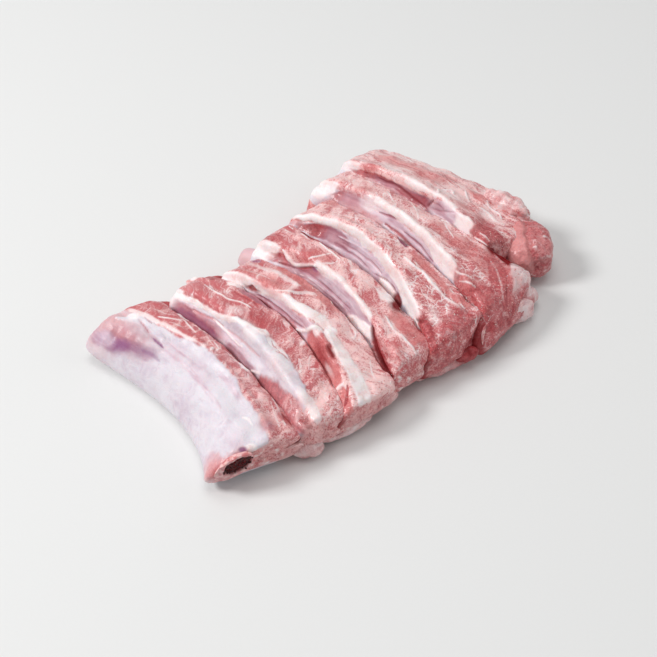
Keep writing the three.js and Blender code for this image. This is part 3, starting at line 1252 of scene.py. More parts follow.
        # partly painted shade: darker meat colours at the foot of the bone side and down the slit's wall and
        # floor
        if self.number > 1:
            self.lay(FLESH, smoothstep(4.4, 3.0, place) * 0.8)
            self.lay(RAW, smoothstep(3.4, 1.5, place) * 0.8)
        if self.form.outermost:
            return
        open_slit = smoothstep(0.97, 0.88, self.lengthwise / self.form.length)
        self.lay(FLESH, smoothstep(self.LIP + 0.2, self.WALL, place) * 0.8 * open_slit)
        self.lay(RAW, smoothstep(self.WALL, self.SLIT_FLOOR, place)
                 * smoothstep(20.5, 19.5, self.place_of) * 0.8 * open_slit)

    def _lay_features(self) -> None:
        """Lays every feature in turn, and paints shade, in dark meat and blood colours, on what the rib
        before this one hides.
        """
        for feature in self.features:
            if isinstance(feature, Seam):
                self._lay_seam(feature)
            elif isinstance(feature, Patch):
                self._lay_patch(feature)
            else:
                self._lay_band(feature)
        # painted shade: dark meat and blood colours where the rib before this one hides this one
        share = np.clip(self.lengthwise / self.form.length, 0, 1)
        above = self.place_of - along(self.hidden, share)
        shaded = smoothstep(0.03, 0.14, share) * (self.number > 1)
        self.lay(RAW, smoothstep(0.25, -0.35, above) * 0.75 * shaded)
        self.lay(BLOOD_AND_SHADE, smoothstep(-0.4, -1.2, above) * 0.6 * shaded)

    def _lay_ends(self) -> None:
        """Covers the ends: meat rimmed with fat at the far one, grainy meat with some fat at the near one."""
        points = self.skin.rings
        lumps = Grain(4.5, 71, 3).at(points)
        inward = self.cap[:, None] + 0 * self.across
        near, far = smoothstep(0.02, 0.2, inward), smoothstep(0.02, 0.2, -inward)
        self.lay(FAT, far * 0.8)
        self.lay(LEAN, far * smoothstep(0.3, 0.6, 0.5 * lumps - inward) * 0.95)
        self.lay(FLESH, far * smoothstep(0.4, 0.8, -inward - 0.5 * lumps) * 0.5)
        raw, flesh, fat = self.near_end
        self.lay(LEAN, near)
        self.lay(FLESH, near * smoothstep(0.35, -0.2, lumps) * flesh)
        self.lay(RAW, near * smoothstep(-0.35, 0.2, lumps) * raw)
        self.lay(FAT, near * smoothstep(0.15, 0.45, Grain(3.2, 73, 3).at(points)) * fat * 2)

    def _fibre_map(self) -> Array:
        """Gives each point's place along and across the fibres.

        Returns:
            The places.
        """
        turn = np.radians(along(self.fibre_turn, np.clip(self.lengthwise / self.form.length, 0, 1)))
        u, v = self.lengthwise + 3 * self.edge_wander, self.across + 2 * self.edge_wander
        return np.stack([u * np.cos(turn) + v * np.sin(turn), v * np.cos(turn) - u * np.sin(turn)], -1)

    def _relief(self, fibres: Array) -> Array:
        """Gives the fine relief of each tissue.

        Args:
            fibres: Each point's place along and across the fibres.

        Returns:
            How far each point rises.
        """
        points = self.skin.rings
        paint = self.paint
        meaty = paint[LEAN] + paint[RAW] + paint[FLESH]
        thin = paint[FILM] + paint[BRUISE]
        wrinkled = paint[LILAC] + paint[MAUVE]
        lumps = Grain(7.5, 3, 2).at(points)
        pebbles = Grain(2.2, 5, 2).at(points)
        strands = streaks(Grain(1.7, 7, 2), fibres[..., 0], fibres[..., 1], 7, self.number * 9.0)
        wrinkles = streaks(Grain(2.0, 9, 2), self.lengthwise, self.across, 10, self.number * 5.0)
        near = smoothstep(0.7, 0.95, self.lengthwise / self.form.length)
        crinkles = 0.5 - 2 * np.abs(Grain(6, 17, 3).at(points))
        rise = meaty * (0.3 * lumps + (0.05 + 0.12 * near) * pebbles + 0.14 * strands)
        rise += paint[FAT] * (0.25 * lumps + 0.05 * pebbles)
        rise += thin * (0.1 * lumps + 0.05 * wrinkles + 0.13 * crinkles)
        rise += wrinkled * (0.1 * lumps + 0.18 * wrinkles)
        lip = np.exp(-((self.place_of - self.LIP) / 0.9) ** 2)
        rise += lip * (0.9 * Grain(13, 11, 3).at(points) + 0.15 * pebbles)
        into = np.abs(self.cap[:, None])
        ends = np.sqrt(into) * (into < 0.95)
        rim = smoothstep(7, 0, np.minimum(self.lengthwise, self.form.length - self.lengthwise))
        rough_end = 0.9 if self.number > 1 else 0.3
        return rise + np.maximum(ends, 0.7 * rim) * rough_end * Grain(4.5, 13, 3).at(points)

    def _record_layers(self) -> None:
        """Gives the skin what its finish and the crumbs and shreds on it read."""
        every = np.ones(self.across.shape)
        shares = np.clip(self.lengthwise / self.form.length, 0, 1)
        cut = self.paint[LEAN] + self.paint[RAW] + self.paint[FLESH]
        cut = cut * (self.place_of > 5) * (self.place_of < 15)
        lips = np.exp(-((self.place_of - self.LIP) / 0.5) ** 2) * smoothstep(0.1, 0.5, self.edge_wander)
        between_ends = ((self.share > 0) & (self.share < 1))[:, None]
        self.skin.layers = {tissue.value: cover for tissue, cover in self.paint.items()} | {
            "cells": np.clip(along(self.cells, shares), 0, 1),
            "feather": every,
            "capped": every * smoothstep(0.05, 0.4, np.abs(self.cap[:, None])),
            "pale": np.clip(along(self.pale, shares), 0, 1),
            "crumbs": cut * smoothstep(0.8, 1.0, shares),
            "shreds": lips * between_ends,
        }

    def build(self, finish: bpy.types.Material) -> bpy.types.Object:
        """Makes the rib.

        Args:
            finish: Its material.

        Returns:
            The rib's object.
        """
        self._lay_out()
        self._lay_slit()
        self._lay_features()
        self._lay_ends()
        fibres = self._fibre_map()
        self.skin.raise_by(self.height)
        self.skin.raise_by(self._relief(fibres))
        self.skin.rings[..., 2] = np.maximum(self.skin.rings[..., 2], 0)
        self._record_layers()
        self.skin.maps = {GRAIN_MAP: fibres, RUN_MAP: np.stack([self.lengthwise, self.across], -1)}
        return hand_over(self.skin.build(f"rib_{self.number}_meat", finish), MEAT_NODE)


# --- What each rib is made of, with painted shade in its slits, creases and valleys ---

FORMS = (
    RibForm((-75, -72.5, -85), (57, 5, -44.5), (20, 27, 21), (25, 22, 28.5), (13, 9.5, 17), (17, 22, 12),
            (0, 0, 0), (-16, 0, -22), 0.86, -2, 0.5),
    RibForm((-52, -53.5, -65), (51, 1, -50), (21, 30, 20), (12, 12, 11), (18, 20, 16), (17, 25, 15),
            (2, 5, 1), (0, 0, -17), 0.55, -2, 4),
    RibForm((-31, -29.5, -47), (43, -5, -56), (22, 31, 19), (10, 9, 11), (18, 17, 25), (18, 27, 13),
            (2, 6, 2), (-5, 0, -8), 0.5, -3, 2),
    RibForm((-6, -3, -17), (47, -1, -55), (21, 31, 21), (12, 12, 11), (20, 15, 21), (19, 28, 18), (2, 6, 4),
            (5, 0, -5), 0.5, -1, 4),
    RibForm((17, 24, 0), (48, -2, -59), (22, 34, 19), (12, 15, 7), (23, 15, 33), (20, 28, 20), (2, 7, 3),
            (-5, 0, -4), 0.5, 0, 4),
    RibForm((48, 46.5, 34), (57, 0, -64), (22, 34, 23), (12, 11, 12), (17, 16, 38), (20, 28, 18), (1, 6, 4),
            (-10, 0, 5), 0.55, 7, 4),
    RibForm((66, 70, 66), (60, 10, -36), (22, 33, 26), (11, 11, 11), (26, 36, 36), (14, 17, 15), (2, 7, 2),
            (4, 0, -12), 0.55, 0, 3, outermost=True),
)

RIB_1 = Rib(1, FORMS[0], (-50, -75, -70), (0, 0.1, 0.4), (0.15, 0.35, 0.7), (0.3, 0.6, 0.4), features=(
    Band(FILM, ((-10, -2, 6.9), (5, -2, 7), (33, -2, 7), (38, -2, 7.3), (42, -2, 7.6), (46, -2, 8),
         (55, -2, 8), (60, -2, 8.2), (70, -2, 8.1), (75, -2, 7.7), (97, -2, 7.8), (110, -2, 7.6)),
         0.5, 2, 1.6),
    Band(LILAC, ((27, 4.6, 6), (34, 4.4, 6.4), (50, 4.5, 6.4), (62, 4.6, 6.2)), 0, 4, 2.4, 0.35),
    Band(LILAC, ((60, 6.7, 7.2), (67, 6.6, 7.5), (78, 6.9, 7.4)), 0, 3, 1.6, 0.6),
    Seam(LILAC, ((32, 4.9), (45, 4.8), (60, 4.8), (75, 5)), 2.2, 0.35, 0.4),
    Seam(LILAC, ((30, 5.9), (40, 5.6), (50, 5.9)), 1.4, -0.05, 0.6),
    Patch(FLESH, (2, 4.2), (18, 26), 10, 0, 0.4, 1.3),
    Patch(FLESH, (8, 4.8), (20, 14), 14, 0, 0.3, 1.6),
    Patch(MAUVE, (15, 4.1), (24, 12), 12, 0, 0.7, 1.5),
    Patch(RAW, (13, 4.15), (14, 8), 12, 0, 0.35, 1.6),
    Patch(BRUISE, (21, 4), (20, 5), 12, 0, 0.5, 1.5),
    Patch(BRUISE, (10.5, 3.65), (13, 7), 8, 0, 0.85, 1.4),
    Seam(BRUISE, ((22, 4.1), (27, 4.15), (33, 4.1)), 1.8, 0, 0.35),
    Patch(LILAC, (5.5, 3.6), (10, 8), 0, 0, 0.95, 0.9),
    Patch(BRUISE, (6, 3.6), (9, 7), 0, 0, 0.3, 1.2),
    Seam(FILM, ((3, 5.4), (8, 6.2), (13, 6.6), (20, 6.2), (28, 5.7)), 4, 0.5, 0.9),
    Seam(MAUVE, ((10, 6.5), (15, 6.1), (20, 5.6), (25, 5.2), (30, 5)), 2.2, -0.3, 0.3),
    Seam(RAW, ((11, 6.4), (15, 6.1), (20, 5.6)), 0.8, -0.3, 0.5),
    Seam(BRUISE, ((23, 5.3), (27, 5.05), (31, 5)), 1.4, -0.4, 0.7),
    Seam(MAUVE, ((11, 7), (14, 6.9), (17, 6.8)), 1, -0.2, 0.7),
    Band(FLESH, ((88, 2.4, 3.6), (95, 2.2, 3.9), (108, 2, 4.1)), 0, 3, 1.5, 0.45),
    Patch(FLESH, (98, 3.2), (9, 10), 0, 0.3, 0.5, 1.2),
    Band(FLESH, ((98.5, 0.5, 5.4), (99.5, 0.3, 5.8), (105, 0, 6.2)), 0, 2, 1.4, 0.8),
    Patch(FAT, (99.5, 5.9), (4, 5), 0, 0.5, 0.9, 0.8),
    Patch(FAT, (97.5, 1.8), (4, 5), 0, 0.3, 0.3, 1.2),
    Patch(BRUISE, (99, 5.2), (2.5, 3.5), 0, -0.3, 0.8, 0.8),
    Patch(LILAC, (92, 5.2), (9, 7), 0, 0, 0.35, 1.4),
    Seam(FAT, ((84, 6.2), (87, 6.7), (91, 6.8)), 1.4, 0.3, 0.9),
    # the lean side
    Band(FAT, ((2, 6.9, 7.5), (20, 7, 7.6), (36, 7.2, 7.7), (45, 7.9, 8.3)), 0.3, 1.5, 1.2, 0.75),
    Seam(FAT, ((15, 8), (19, 8.7), (21.5, 9.4), (25, 10.2)), 1.4, 0.2, 0.9),
    Seam(FAT, ((22, 8), (26, 8.7), (29, 9.3)), 0.8, 0.15, 0.6),
    Patch(FAT, (7.5, 6.5), (5, 5), 30, 0.6, 0.8, 0.7),
    Seam(FAT, ((49.7, 8.1), (48.7, 8.8), (47, 9.8)), 1.6, 0.3, 0.95),
    Seam(RAW, ((51, 8.2), (50, 9), (48.5, 9.9)), 0.8, -0.3, 0.6),
    Seam(FAT, ((43, 11), (46, 10.6), (50, 10.2)), 1, 0.2, 0.8),
    Seam(FAT, ((40, 10.6), (44, 10.2), (47, 10)), 0.8, 0.2, 0.7),
    Band(FAT, ((18, 11.4, 12.4), (21.5, 10.8, 12.5), (25, 11.4, 12.4)), 0.5, 1.2, 1.2, 0.9),
    Seam(FAT, ((24, 10.8), (30, 10.2), (36, 9.8)), 1.3, 0.3, 0.85),
    Band(FAT, ((60, 11.4, 12.5), (63, 10.8, 12.6), (66, 11.5, 12.5)), 0.5, 1.2, 1.2, 0.9),
    Seam(FAT, ((28, 11.5), (33, 11.8), (38, 11.7)), 0.9, 0.3, 0.9),
    Seam(FAT, ((50, 11.2), (55, 11.6), (60, 11.7)), 0.9, 0.3, 0.9),
    Seam(FAT, ((8, 9.4), (16, 9.9), (22, 10.6)), 0.7, 0.2, 0.7),
    Patch(RAW, (93, 8.9), (9, 9), 20, -0.3, 0.45, 1.2),
    Patch(MAUVE, (93.5, 8.6), (5, 6), 20, -0.3, 0.5, 0.8),
    Seam(FAT, ((80, 11.6), (87, 11), (95, 10.3)), 1.4, 0.3, 0.9),
    Seam(FAT, ((82, 10.8), (88, 10.2), (96, 9.7)), 1, 0.2, 0.8),
    Band(RAW, ((87, 10.5, 11.6), (91, 10.4, 11.8), (95, 10.6, 11.6)), -0.6, 1.5, 1, 0.8),
    Seam(BLOOD_AND_SHADE, ((88, 11.2), (92, 11.2), (96, 11)), 1.1, -0.4, 0.7),
    Band(BLOOD_AND_SHADE, ((72, 12.4, 15), (78, 12.1, 15), (84, 11.9, 15), (93, 11.7, 15), (102, 11.6, 15)),
         -3.5, 1.2, 1, 0.9),
))

RIB_2 = Rib(2, FORMS[1], (-35, -55, -70), (0.1, 0.15, 0.6), (0.2, 0.35, 0.7), hidden=(4, 4.15, 4.1),
            features=(
    Band(FILM, ((40, 3.6, 8.4), (45, 3.6, 8.9), (55, 3.6, 9), (60, 3.6, 9.2), (70, 3.6, 9.5),
         (78, 3.6, 9.5), (85, 3.6, 9.3), (90, 3.6, 8.5), (94, 3.6, 7.5), (102, 3.6, 6)), 0.4, 1.8, 2),
    Band(FILM, ((-10, 3.6, 7.4), (10, 3.6, 6.4), (30, 3.6, 6.8), (42, 3.6, 7.6)), 0.3, 1.5, 1.2),
    Band(FAT, ((-10, 3.5, 8.2), (3, 4, 7.8), (7, 5, 7.2)), 0.8, 2, 1.5, 0.9),
    Band(LILAC, ((10, 4.4, 5.9), (20, 4.5, 6.1), (45, 4.5, 6), (55, 4.6, 5.6)), 0, 1.8, 1.2, 0.85),
    Band(MAUVE, ((4, 3.6, 5.6), (10, 3.4, 5.4), (20, 3.4, 5), (33, 3.4, 4.7)), -0.2, 3, 1.6, 0.75),
    Band(MAUVE, ((40, 3.4, 4.6), (50, 3.4, 4.9), (65, 3.6, 4.7)), -0.3, 2.6, 1.6, 0.75),
    Band(RAW, ((6, 3.4, 5), (12, 3.4, 5.6), (22, 3.4, 5.8), (38, 3.4, 5.2)), -0.1, 3, 1.6, 0.4),
    Band(BRUISE, ((6, 3.4, 4.4), (14, 3.4, 4.8), (24, 3.4, 4.8), (36, 3.4, 4.4)), -0.1, 2.4, 1.6, 0.4),
    Seam(FLESH, ((15, 5.4), (22, 5.7), (30, 5.9), (36, 6.1)), 1.4, -0.4, 0.6),
    Seam(FLESH, ((38, 6), (46, 6.2), (56, 6.3), (62, 6.5)), 1.6, -0.3, 0.35),
    Seam(FAT, ((28, 5.9), (37, 5.9), (42, 5.6), (47, 5.5), (51, 5.7)), 1.3, 0.4, 0.95),
    Seam(FAT, ((60, 4.2), (63, 4.5), (66, 4.9)), 1.4, 0.4, 0.9),
    Band(FAT, ((4, 5.8, 7), (10, 5.8, 6.8), (15, 6.3, 7), (30, 6.3, 7), (33, 6.6, 7.2), (38, 6.9, 7.6),
         (41, 7.3, 8.2), (45, 7.8, 8.8), (50, 8.4, 9.1), (55, 8.6, 9.5), (58, 8.9, 9.4)), 0.9, 1.5, 1.4),
    Patch(FAT, (50, 8.2), (11, 7), -15, 0.2, 0.7, 1.2),
    Patch(FAT, (36, 8.8), (5, 8), -30, 0.1, 0.45, 1.5),
    # partly painted light: whiter fat here lightens film that lies in shade
    Patch(FAT, (72, 8.2), (18, 9), 0, 0.1, 0.5, 1.2),
    Seam(FAT, ((10, 9.8), (15, 9.6), (20, 9.5), (27, 9.5), (33, 10), (40, 10.1)), 1.2, 0.3, 0.95),
    Seam(RAW, ((22, 10.5), (30, 10.5), (40, 10.7)), 1.6, -0.3, 0.7),
    Band(FAT, ((16, 11.2, 12.5), (20, 10.9, 12.6), (25, 11.2, 12.5)), 0.6, 1.2, 1, 0.95),
    Band(MAUVE, ((24, 11, 15), (28, 10.8, 15), (38, 10.8, 15), (43, 11.2, 15)), -3, 1.2, 1, 0.9),
    Band(RAW, ((-5, 10.8, 15), (2, 10.5, 15), (10, 10.5, 15), (13, 11.2, 15)), -3.5, 1.5, 1, 0.8),
    Band(RAW, ((42, 9.2, 10.6), (46, 8.9, 10.8), (52, 9.2, 10.7), (55, 9.8, 10.5)), -0.3, 2.5, 2, 0.4),
    Patch(RAW, (46, 9.5), (12, 6), 30, -0.1, 0.4, 1.3),
    Band(FAT, ((58, 8.8, 9.3), (63, 8.8, 9.5), (69, 9.1, 9.5)), 0.2, 1.2, 1.4, 0.8),
    Seam(RAW, ((60, 9.3), (63, 9), (65, 9.2), (68, 9.1)), 0.6, -0.15, 0.7),
    Seam(FLESH, ((66, 8.8), (69, 9.3), (73, 9.4)), 1, -0.2, 0.7),
    Band(RAW, ((66, 4.2, 4.6), (76, 4, 6), (85, 4, 6.6), (92, 4, 7.4), (102, 4, 7.3)), 0.2, 3.6, 2.6, 0.85),
    Band(LEAN, ((84, 4.6, 6.8), (92, 4.6, 7.4), (102, 4.6, 7.4)), 0.1, 3, 2.6, 0.5),
    Band(BLOOD_AND_SHADE, ((94, 5.3, 6.9), (98, 5.4, 7), (102, 5.4, 7)), -0.5, 1.5, 1.2, 0.5),
    Patch(LILAC, (88, 8), (9, 6), 0, 0, 0.5, 0.9),
    Seam(FAT, ((66, 12.5), (67, 11.8), (68, 11)), 1.6, 0.3, 0.9),
    Seam(FAT, ((92, 12.2), (94, 11.7), (95, 11.2)), 1.6, 0.3, 0.9),
    Seam(FAT, ((73, 11.5), (76, 10.8), (80, 10.3)), 0.9, 0.2, 0.7),
    Band(RAW, ((78, 11.8, 13.5), (83, 11.5, 13.5), (88, 11.8, 13.5)), -0.6, 1.2, 1, 0.8),
    Band(FAT, ((85, 7.2, 8.6), (92, 7.5, 9.2), (102, 7.6, 9.4)), 0.4, 1.5, 1.6, 0.7),
))

RIB_3 = Rib(3, FORMS[2], (-35, -60, -10), (0.1, 0.3, 0.4), (0.3, 0.6, 0.7), (0.4, 0.4, 0.35),
            (5.9, 5.4, 5.1), features=(
    Band(FILM, ((-10, 3.6, 6.4), (20, 3.6, 6.2), (50, 3.6, 6.4), (64, 3.6, 6.4)), 0.3, 1.5, 1.2),
    Band(LILAC, ((25, 4.4, 6), (35, 4.4, 7), (52, 4.6, 7.1), (58, 5, 7.6), (63, 5.4, 8.8), (65, 6.4, 8.4)),
         0, 1.8, 1.4, 0.9),
    Band(MAUVE, ((20, 5, 6.2), (30, 4.9, 6), (45, 5, 6)), -0.3, 1.5, 1.2, 0.55),
    Seam(MAUVE, ((24, 5.8), (35, 5.9), (50, 6), (55, 6.2), (60, 6.7)), 1.5, -0.5, 0.9),
    Band(FLESH, ((44, 5.2, 5.7), (50, 5.1, 5.8), (59, 5.3, 5.6)), 0.1, 1.5, 1.2, 0.6),
    Band(FAT, ((1, 5.8, 7.6), (5, 5.6, 7.8), (15, 5.8, 7.7), (20, 6.9, 7.9), (27, 6.2, 7.3), (33, 6.5, 7.5),
         (38, 6.8, 8), (45, 7, 8.6), (52, 7.3, 9.2), (58, 8, 9.6), (62, 8.8, 9.9), (70, 9, 9.9)),
         0.9, 1.6, 1.6, 0.95),
    Band(BLOOD_AND_SHADE, ((17, 6, 6.6), (20, 5.9, 6.9), (23.5, 6, 6.6)), -1, 1.2, 1, 0.8),
    Band(FLESH, ((61, 5.6, 7.2), (65, 5.3, 8.2), (75, 5.2, 8.3), (84, 5.3, 8), (89, 5.6, 7.4)),
         0.2, 2, 2.2, 0.9),
    Patch(RAW, (72, 6.6), (12, 8), 0, -0.1, 0.5, 1.4),
    Patch(BLOOD_AND_SHADE, (75, 6), (12, 4), 0, -0.3, 0.3, 1.2),
    Patch(FAT, (65, 7.8), (5, 5), 30, 0.3, 0.8, 0.8),
    Patch(FAT, (80, 6.2), (7, 2.5), 10, 0.2, 0.45, 1.4),
    Seam(FAT, ((53, 5.4), (56, 5.8), (60, 6.8), (63, 8), (66, 8.8)), 1.9, 0.6),
    Patch(BLOOD_AND_SHADE, (76.5, 7.9), (6, 3.6), 20, -1.4, 0.95, 0.7),
    Seam(RAW, ((66, 8.9), (70, 8.7), (76, 8.5)), 2, -0.3),
    Band(FAT, ((66, 8.6, 9.6), (75, 8.6, 9.7), (88, 8.5, 9.8), (102, 8.4, 9.8)), 0.7, 1.5, 1.4, 0.9),
    Seam(FAT, ((88, 5.5), (89, 6.5), (90, 7.5)), 1.8, 0.5, 0.95),
    Band(FLESH, ((90, 5.2, 7), (94, 5.2, 7.2), (102, 5.2, 7.2)), 0.3, 1.5, 1.2, 0.9),
    Seam(RAW, ((91, 8.1), (93, 7.3), (95, 6.4), (96.5, 5.6)), 1.6, -0.5, 0.95),
    Band(FLESH, ((20, 11, 12.2), (35, 10.5, 12.5), (50, 10.5, 12.5), (62, 11, 12.2)), 0, 2, 1.6, 0.85),
    Patch(FLESH, (28, 8.7), (17, 9), 0, 0.1, 0.7, 1),
    Patch(FLESH, (12, 8.6), (8, 5), 0, 0.1, 0.6, 1),
    Seam(FAT, ((34, 7.6), (38.5, 8.4), (42, 9.4), (45, 10.4), (49, 10.9)), 1.5, 0.3, 0.85),
    Seam(FAT, ((22, 7.7), (20, 8.4), (19, 9.2)), 1.2, 0.2, 0.6),
    Band(FAT, ((6, 9.9, 10.5), (20, 10, 10.6), (32, 10, 10.6), (40, 10.1, 10.5)), 0.2, 2, 1.6, 0.6),
    Seam(FAT, ((12, 8.8), (20, 9.1), (28, 9.2)), 0.7, 0.15, 0.6),
    Seam(RAW, ((42, 8.9), (45, 9.6), (48, 10.2), (52, 10.6)), 0.9, -0.2, 0.6),
    Seam(FAT, ((42, 9), (44, 9.7), (46, 10.3), (50, 10.8)), 1, 0.3, 0.95),
    Patch(RAW, (43, 10.3), (6, 10), -20, -0.1, 0.35, 1.3),
    Patch(BRUISE, (6.5, 11), (4, 4), 0, -0.2, 0.6, 0.8),
    Band(BLOOD_AND_SHADE, ((83, 11.8, 15), (87, 11.4, 15), (92, 11.5, 15), (95, 12.2, 15)), -3, 1.2, 1, 0.9),
    Seam(FAT, ((72, 11.8), (75, 11.2), (76, 10.6)), 1.2, 0.3, 0.85),
    Seam(FAT, ((86, 10.9), (90, 10.5), (95, 10.4)), 1, 0.2, 0.8),
))

RIB_4 = Rib(4, FORMS[3], (-20, -40, -20), (0.1, 0.35, 0.6), (0.3, 0.62, 0.42), (0.25, 0.4, 0.45),
            (4.6, 5, 4.9), features=(
    Band(FILM, ((-10, 3.6, 6.4), (30, 3.6, 6.4), (50, 3.6, 7), (80, 3.6, 7), (84, 3.6, 6.4)),
         0.3, 1.5, 1.2),
    Band(FAT, ((-10, 4.5, 8.4), (5, 4.8, 8.2), (12, 5, 8.2), (16, 6.2, 8)), 0.8, 1.8, 1.6, 0.9),
    Band(MAUVE, ((20, 4, 6.6), (30, 4, 6.4), (45, 4, 6), (60, 4, 5.6)), 0, 2.2, 1.6, 0.75),
    Band(LILAC, ((38, 4.4, 7.2), (48, 4.4, 7.3), (57, 4.4, 8), (65, 4.4, 7.4), (80, 4.4, 7.2)),
         0, 2.2, 1.6, 0.8),
    Band(MAUVE, ((24, 5.9, 6.5), (33, 5.9, 7), (40, 6, 7.3), (44, 6.2, 7)), -0.5, 1.2, 1, 0.95),
    Band(RAW, ((26, 6, 6.4), (33, 6.1, 6.9), (40, 6.3, 7.2), (42, 6.5, 7)), -0.1, 1.6, 1, 0.4),
    Patch(BRUISE, (39.5, 7), (4, 3.5), 0, -0.6, 0.55, 0.8),
    Patch(MAUVE, (62, 5.4), (18, 4), 0, -0.1, 0.5, 1.2),
    Seam(RAW, ((29, 6.1), (34, 6.5), (38, 6.9)), 1.2, -0.4, 0.8),
    Band(RAW, ((13, 5.2, 6.6), (17, 5.2, 7), (25, 5.3, 6.2)), -0.4, 1.8, 1.6, 0.8),
    Seam(BLOOD_AND_SHADE, ((18, 5.4), (24, 5.6), (30, 6)), 1, -0.5, 0.7),
    Seam(MAUVE, ((28, 5.9), (40, 6), (52, 6), (66, 6)), 1.2, -0.5, 0.85),
    Seam(FAT, ((26, 5.2), (35, 5.5), (50, 5.6), (65, 5.7)), 0.5, 0.2, 0.6),
    Seam(MAUVE, ((30, 5), (42, 5.3), (55, 5.3), (66, 5.4)), 0.8, -0.3, 0.7),
    Seam(FAT, ((18, 7.4), (20.5, 6.9), (23, 6.4), (27, 6.2), (32, 6.7), (36, 7), (40, 7.3)), 2.2, 0.7),
    Band(FAT, ((39, 7, 8.2), (44, 6.9, 8.4), (50, 7, 8.4), (56, 7.6, 8.4), (62, 7.3, 8.2), (70, 7.2, 8.2),
         (78, 7.2, 8.2)), 0.7, 1.6, 1.6, 0.85),
    Band(FAT, ((67, 5, 5.6), (70, 4.9, 6.3), (75, 5, 6.6), (80, 5.2, 6.9), (82.5, 5.8, 6.8)), 1.2, 1.2),
    Band(LEAN, ((83, 5.6, 8.8), (87, 5.5, 9.3), (93, 5.4, 9.3), (102, 5.3, 9.3)), 0.6, 1.6, 1.6, 0.95),
    Patch(RAW, (90, 6.6), (10, 6), 20, 0, 0.5, 1.5),
    Patch(FLESH, (95, 8.2), (9, 6), 10, 0.2, 0.5, 1.5),
    Band(BLOOD_AND_SHADE, ((87, 5.3, 6), (92, 5.2, 6.2), (98, 5.3, 5.9)), -0.3, 1.2, 1, 0.5),
    Seam(RAW, ((80, 7.1), (82, 6.6), (85, 6.1), (88, 5.7), (93, 5.3), (100, 5.2)), 4.4, -0.4, 0.9),
    Seam(BLOOD_AND_SHADE, ((80, 7), (82, 6.4), (85, 5.9), (88, 5.5), (93, 5.1), (100, 5)), 2.4, -1.2),
    Seam(FAT, ((80, 9.6), (87, 9.4), (93, 9.8), (100, 10)), 1.4, 0.4, 0.95),
    Band(FLESH, ((81, 9.9, 11), (88, 9.8, 11.3), (97, 10.1, 11.3)), 0.2, 1.6, 1.2, 0.85),
    Band(FAT, ((68, 10.8, 12.4), (73, 10.3, 12.6), (79, 10.6, 12.5), (81, 11.2, 12.3)),
         0.4, 1.6, 1.6, 0.85),
    Band(RAW, ((-2, 8.6, 9.8), (6, 8.4, 9.9), (13, 8.6, 9.6)), 0.1, 1.6, 1.6, 0.7),
    Patch(FLESH, (33, 8.4), (14, 10), 25, 0.1, 0.6, 0.9),
    Patch(FLESH, (41, 9.4), (8, 8), 40, 0.1, 0.6, 0.9),
    Seam(FAT, ((34, 7.4), (36.5, 8.4), (37.5, 9.4), (40, 10.4)), 1.3, 0.3, 0.85),
    Seam(FAT, ((42, 8.2), (45, 9.2), (45.5, 10.2)), 1.2, 0.3, 0.8),
    Band(RAW, ((15, 11.2, 15), (20, 10.9, 15), (27, 11.1, 15)), -2.5, 1.2),
    Band(BLOOD_AND_SHADE, ((15, 11.6, 15), (18, 11.3, 15), (22, 11.6, 15)), -0.5, 2.2, 1, 0.8),
    Band(MAUVE, ((28, 11.2, 15), (35, 11, 15), (45, 11, 15), (49, 11.6, 15)), -2.5, 1.2),
    Band(RAW, ((30, 11.4, 15), (36, 11.1, 15), (44, 11.2, 15)), -0.5, 2.2, 1, 0.6),
    Seam(FAT, ((16, 10.9), (20, 10.7), (24, 10.6)), 1.2, 0.4, 0.95),
    Seam(FAT, ((29, 10.9), (36, 10.5), (46, 10.4)), 1.3, 0.4, 0.95),
    Seam(RAW, ((30, 10.2), (38, 9.9), (46, 9.8)), 1, -0.2, 0.6),
    Band(BLOOD_AND_SHADE, ((76, 11.4, 15), (79, 11.1, 15), (82.5, 11.3, 15)), -3),
    Patch(BLOOD_AND_SHADE, (79.2, 12.6), (6, 13), 0, 0, 1, 0.7),
    Patch(BLOOD_AND_SHADE, (18.5, 12.6), (9, 9), 0, 0, 0.8, 0.8),
    Band(RAW, ((88, 11.4, 15), (92, 11.3, 15), (99, 11.6, 15)), -1.5, 1.4),
    Band(BLOOD_AND_SHADE, ((90, 12, 15), (94, 11.8, 15), (99, 12, 15)), -1, 1.8, 1, 0.8),
))

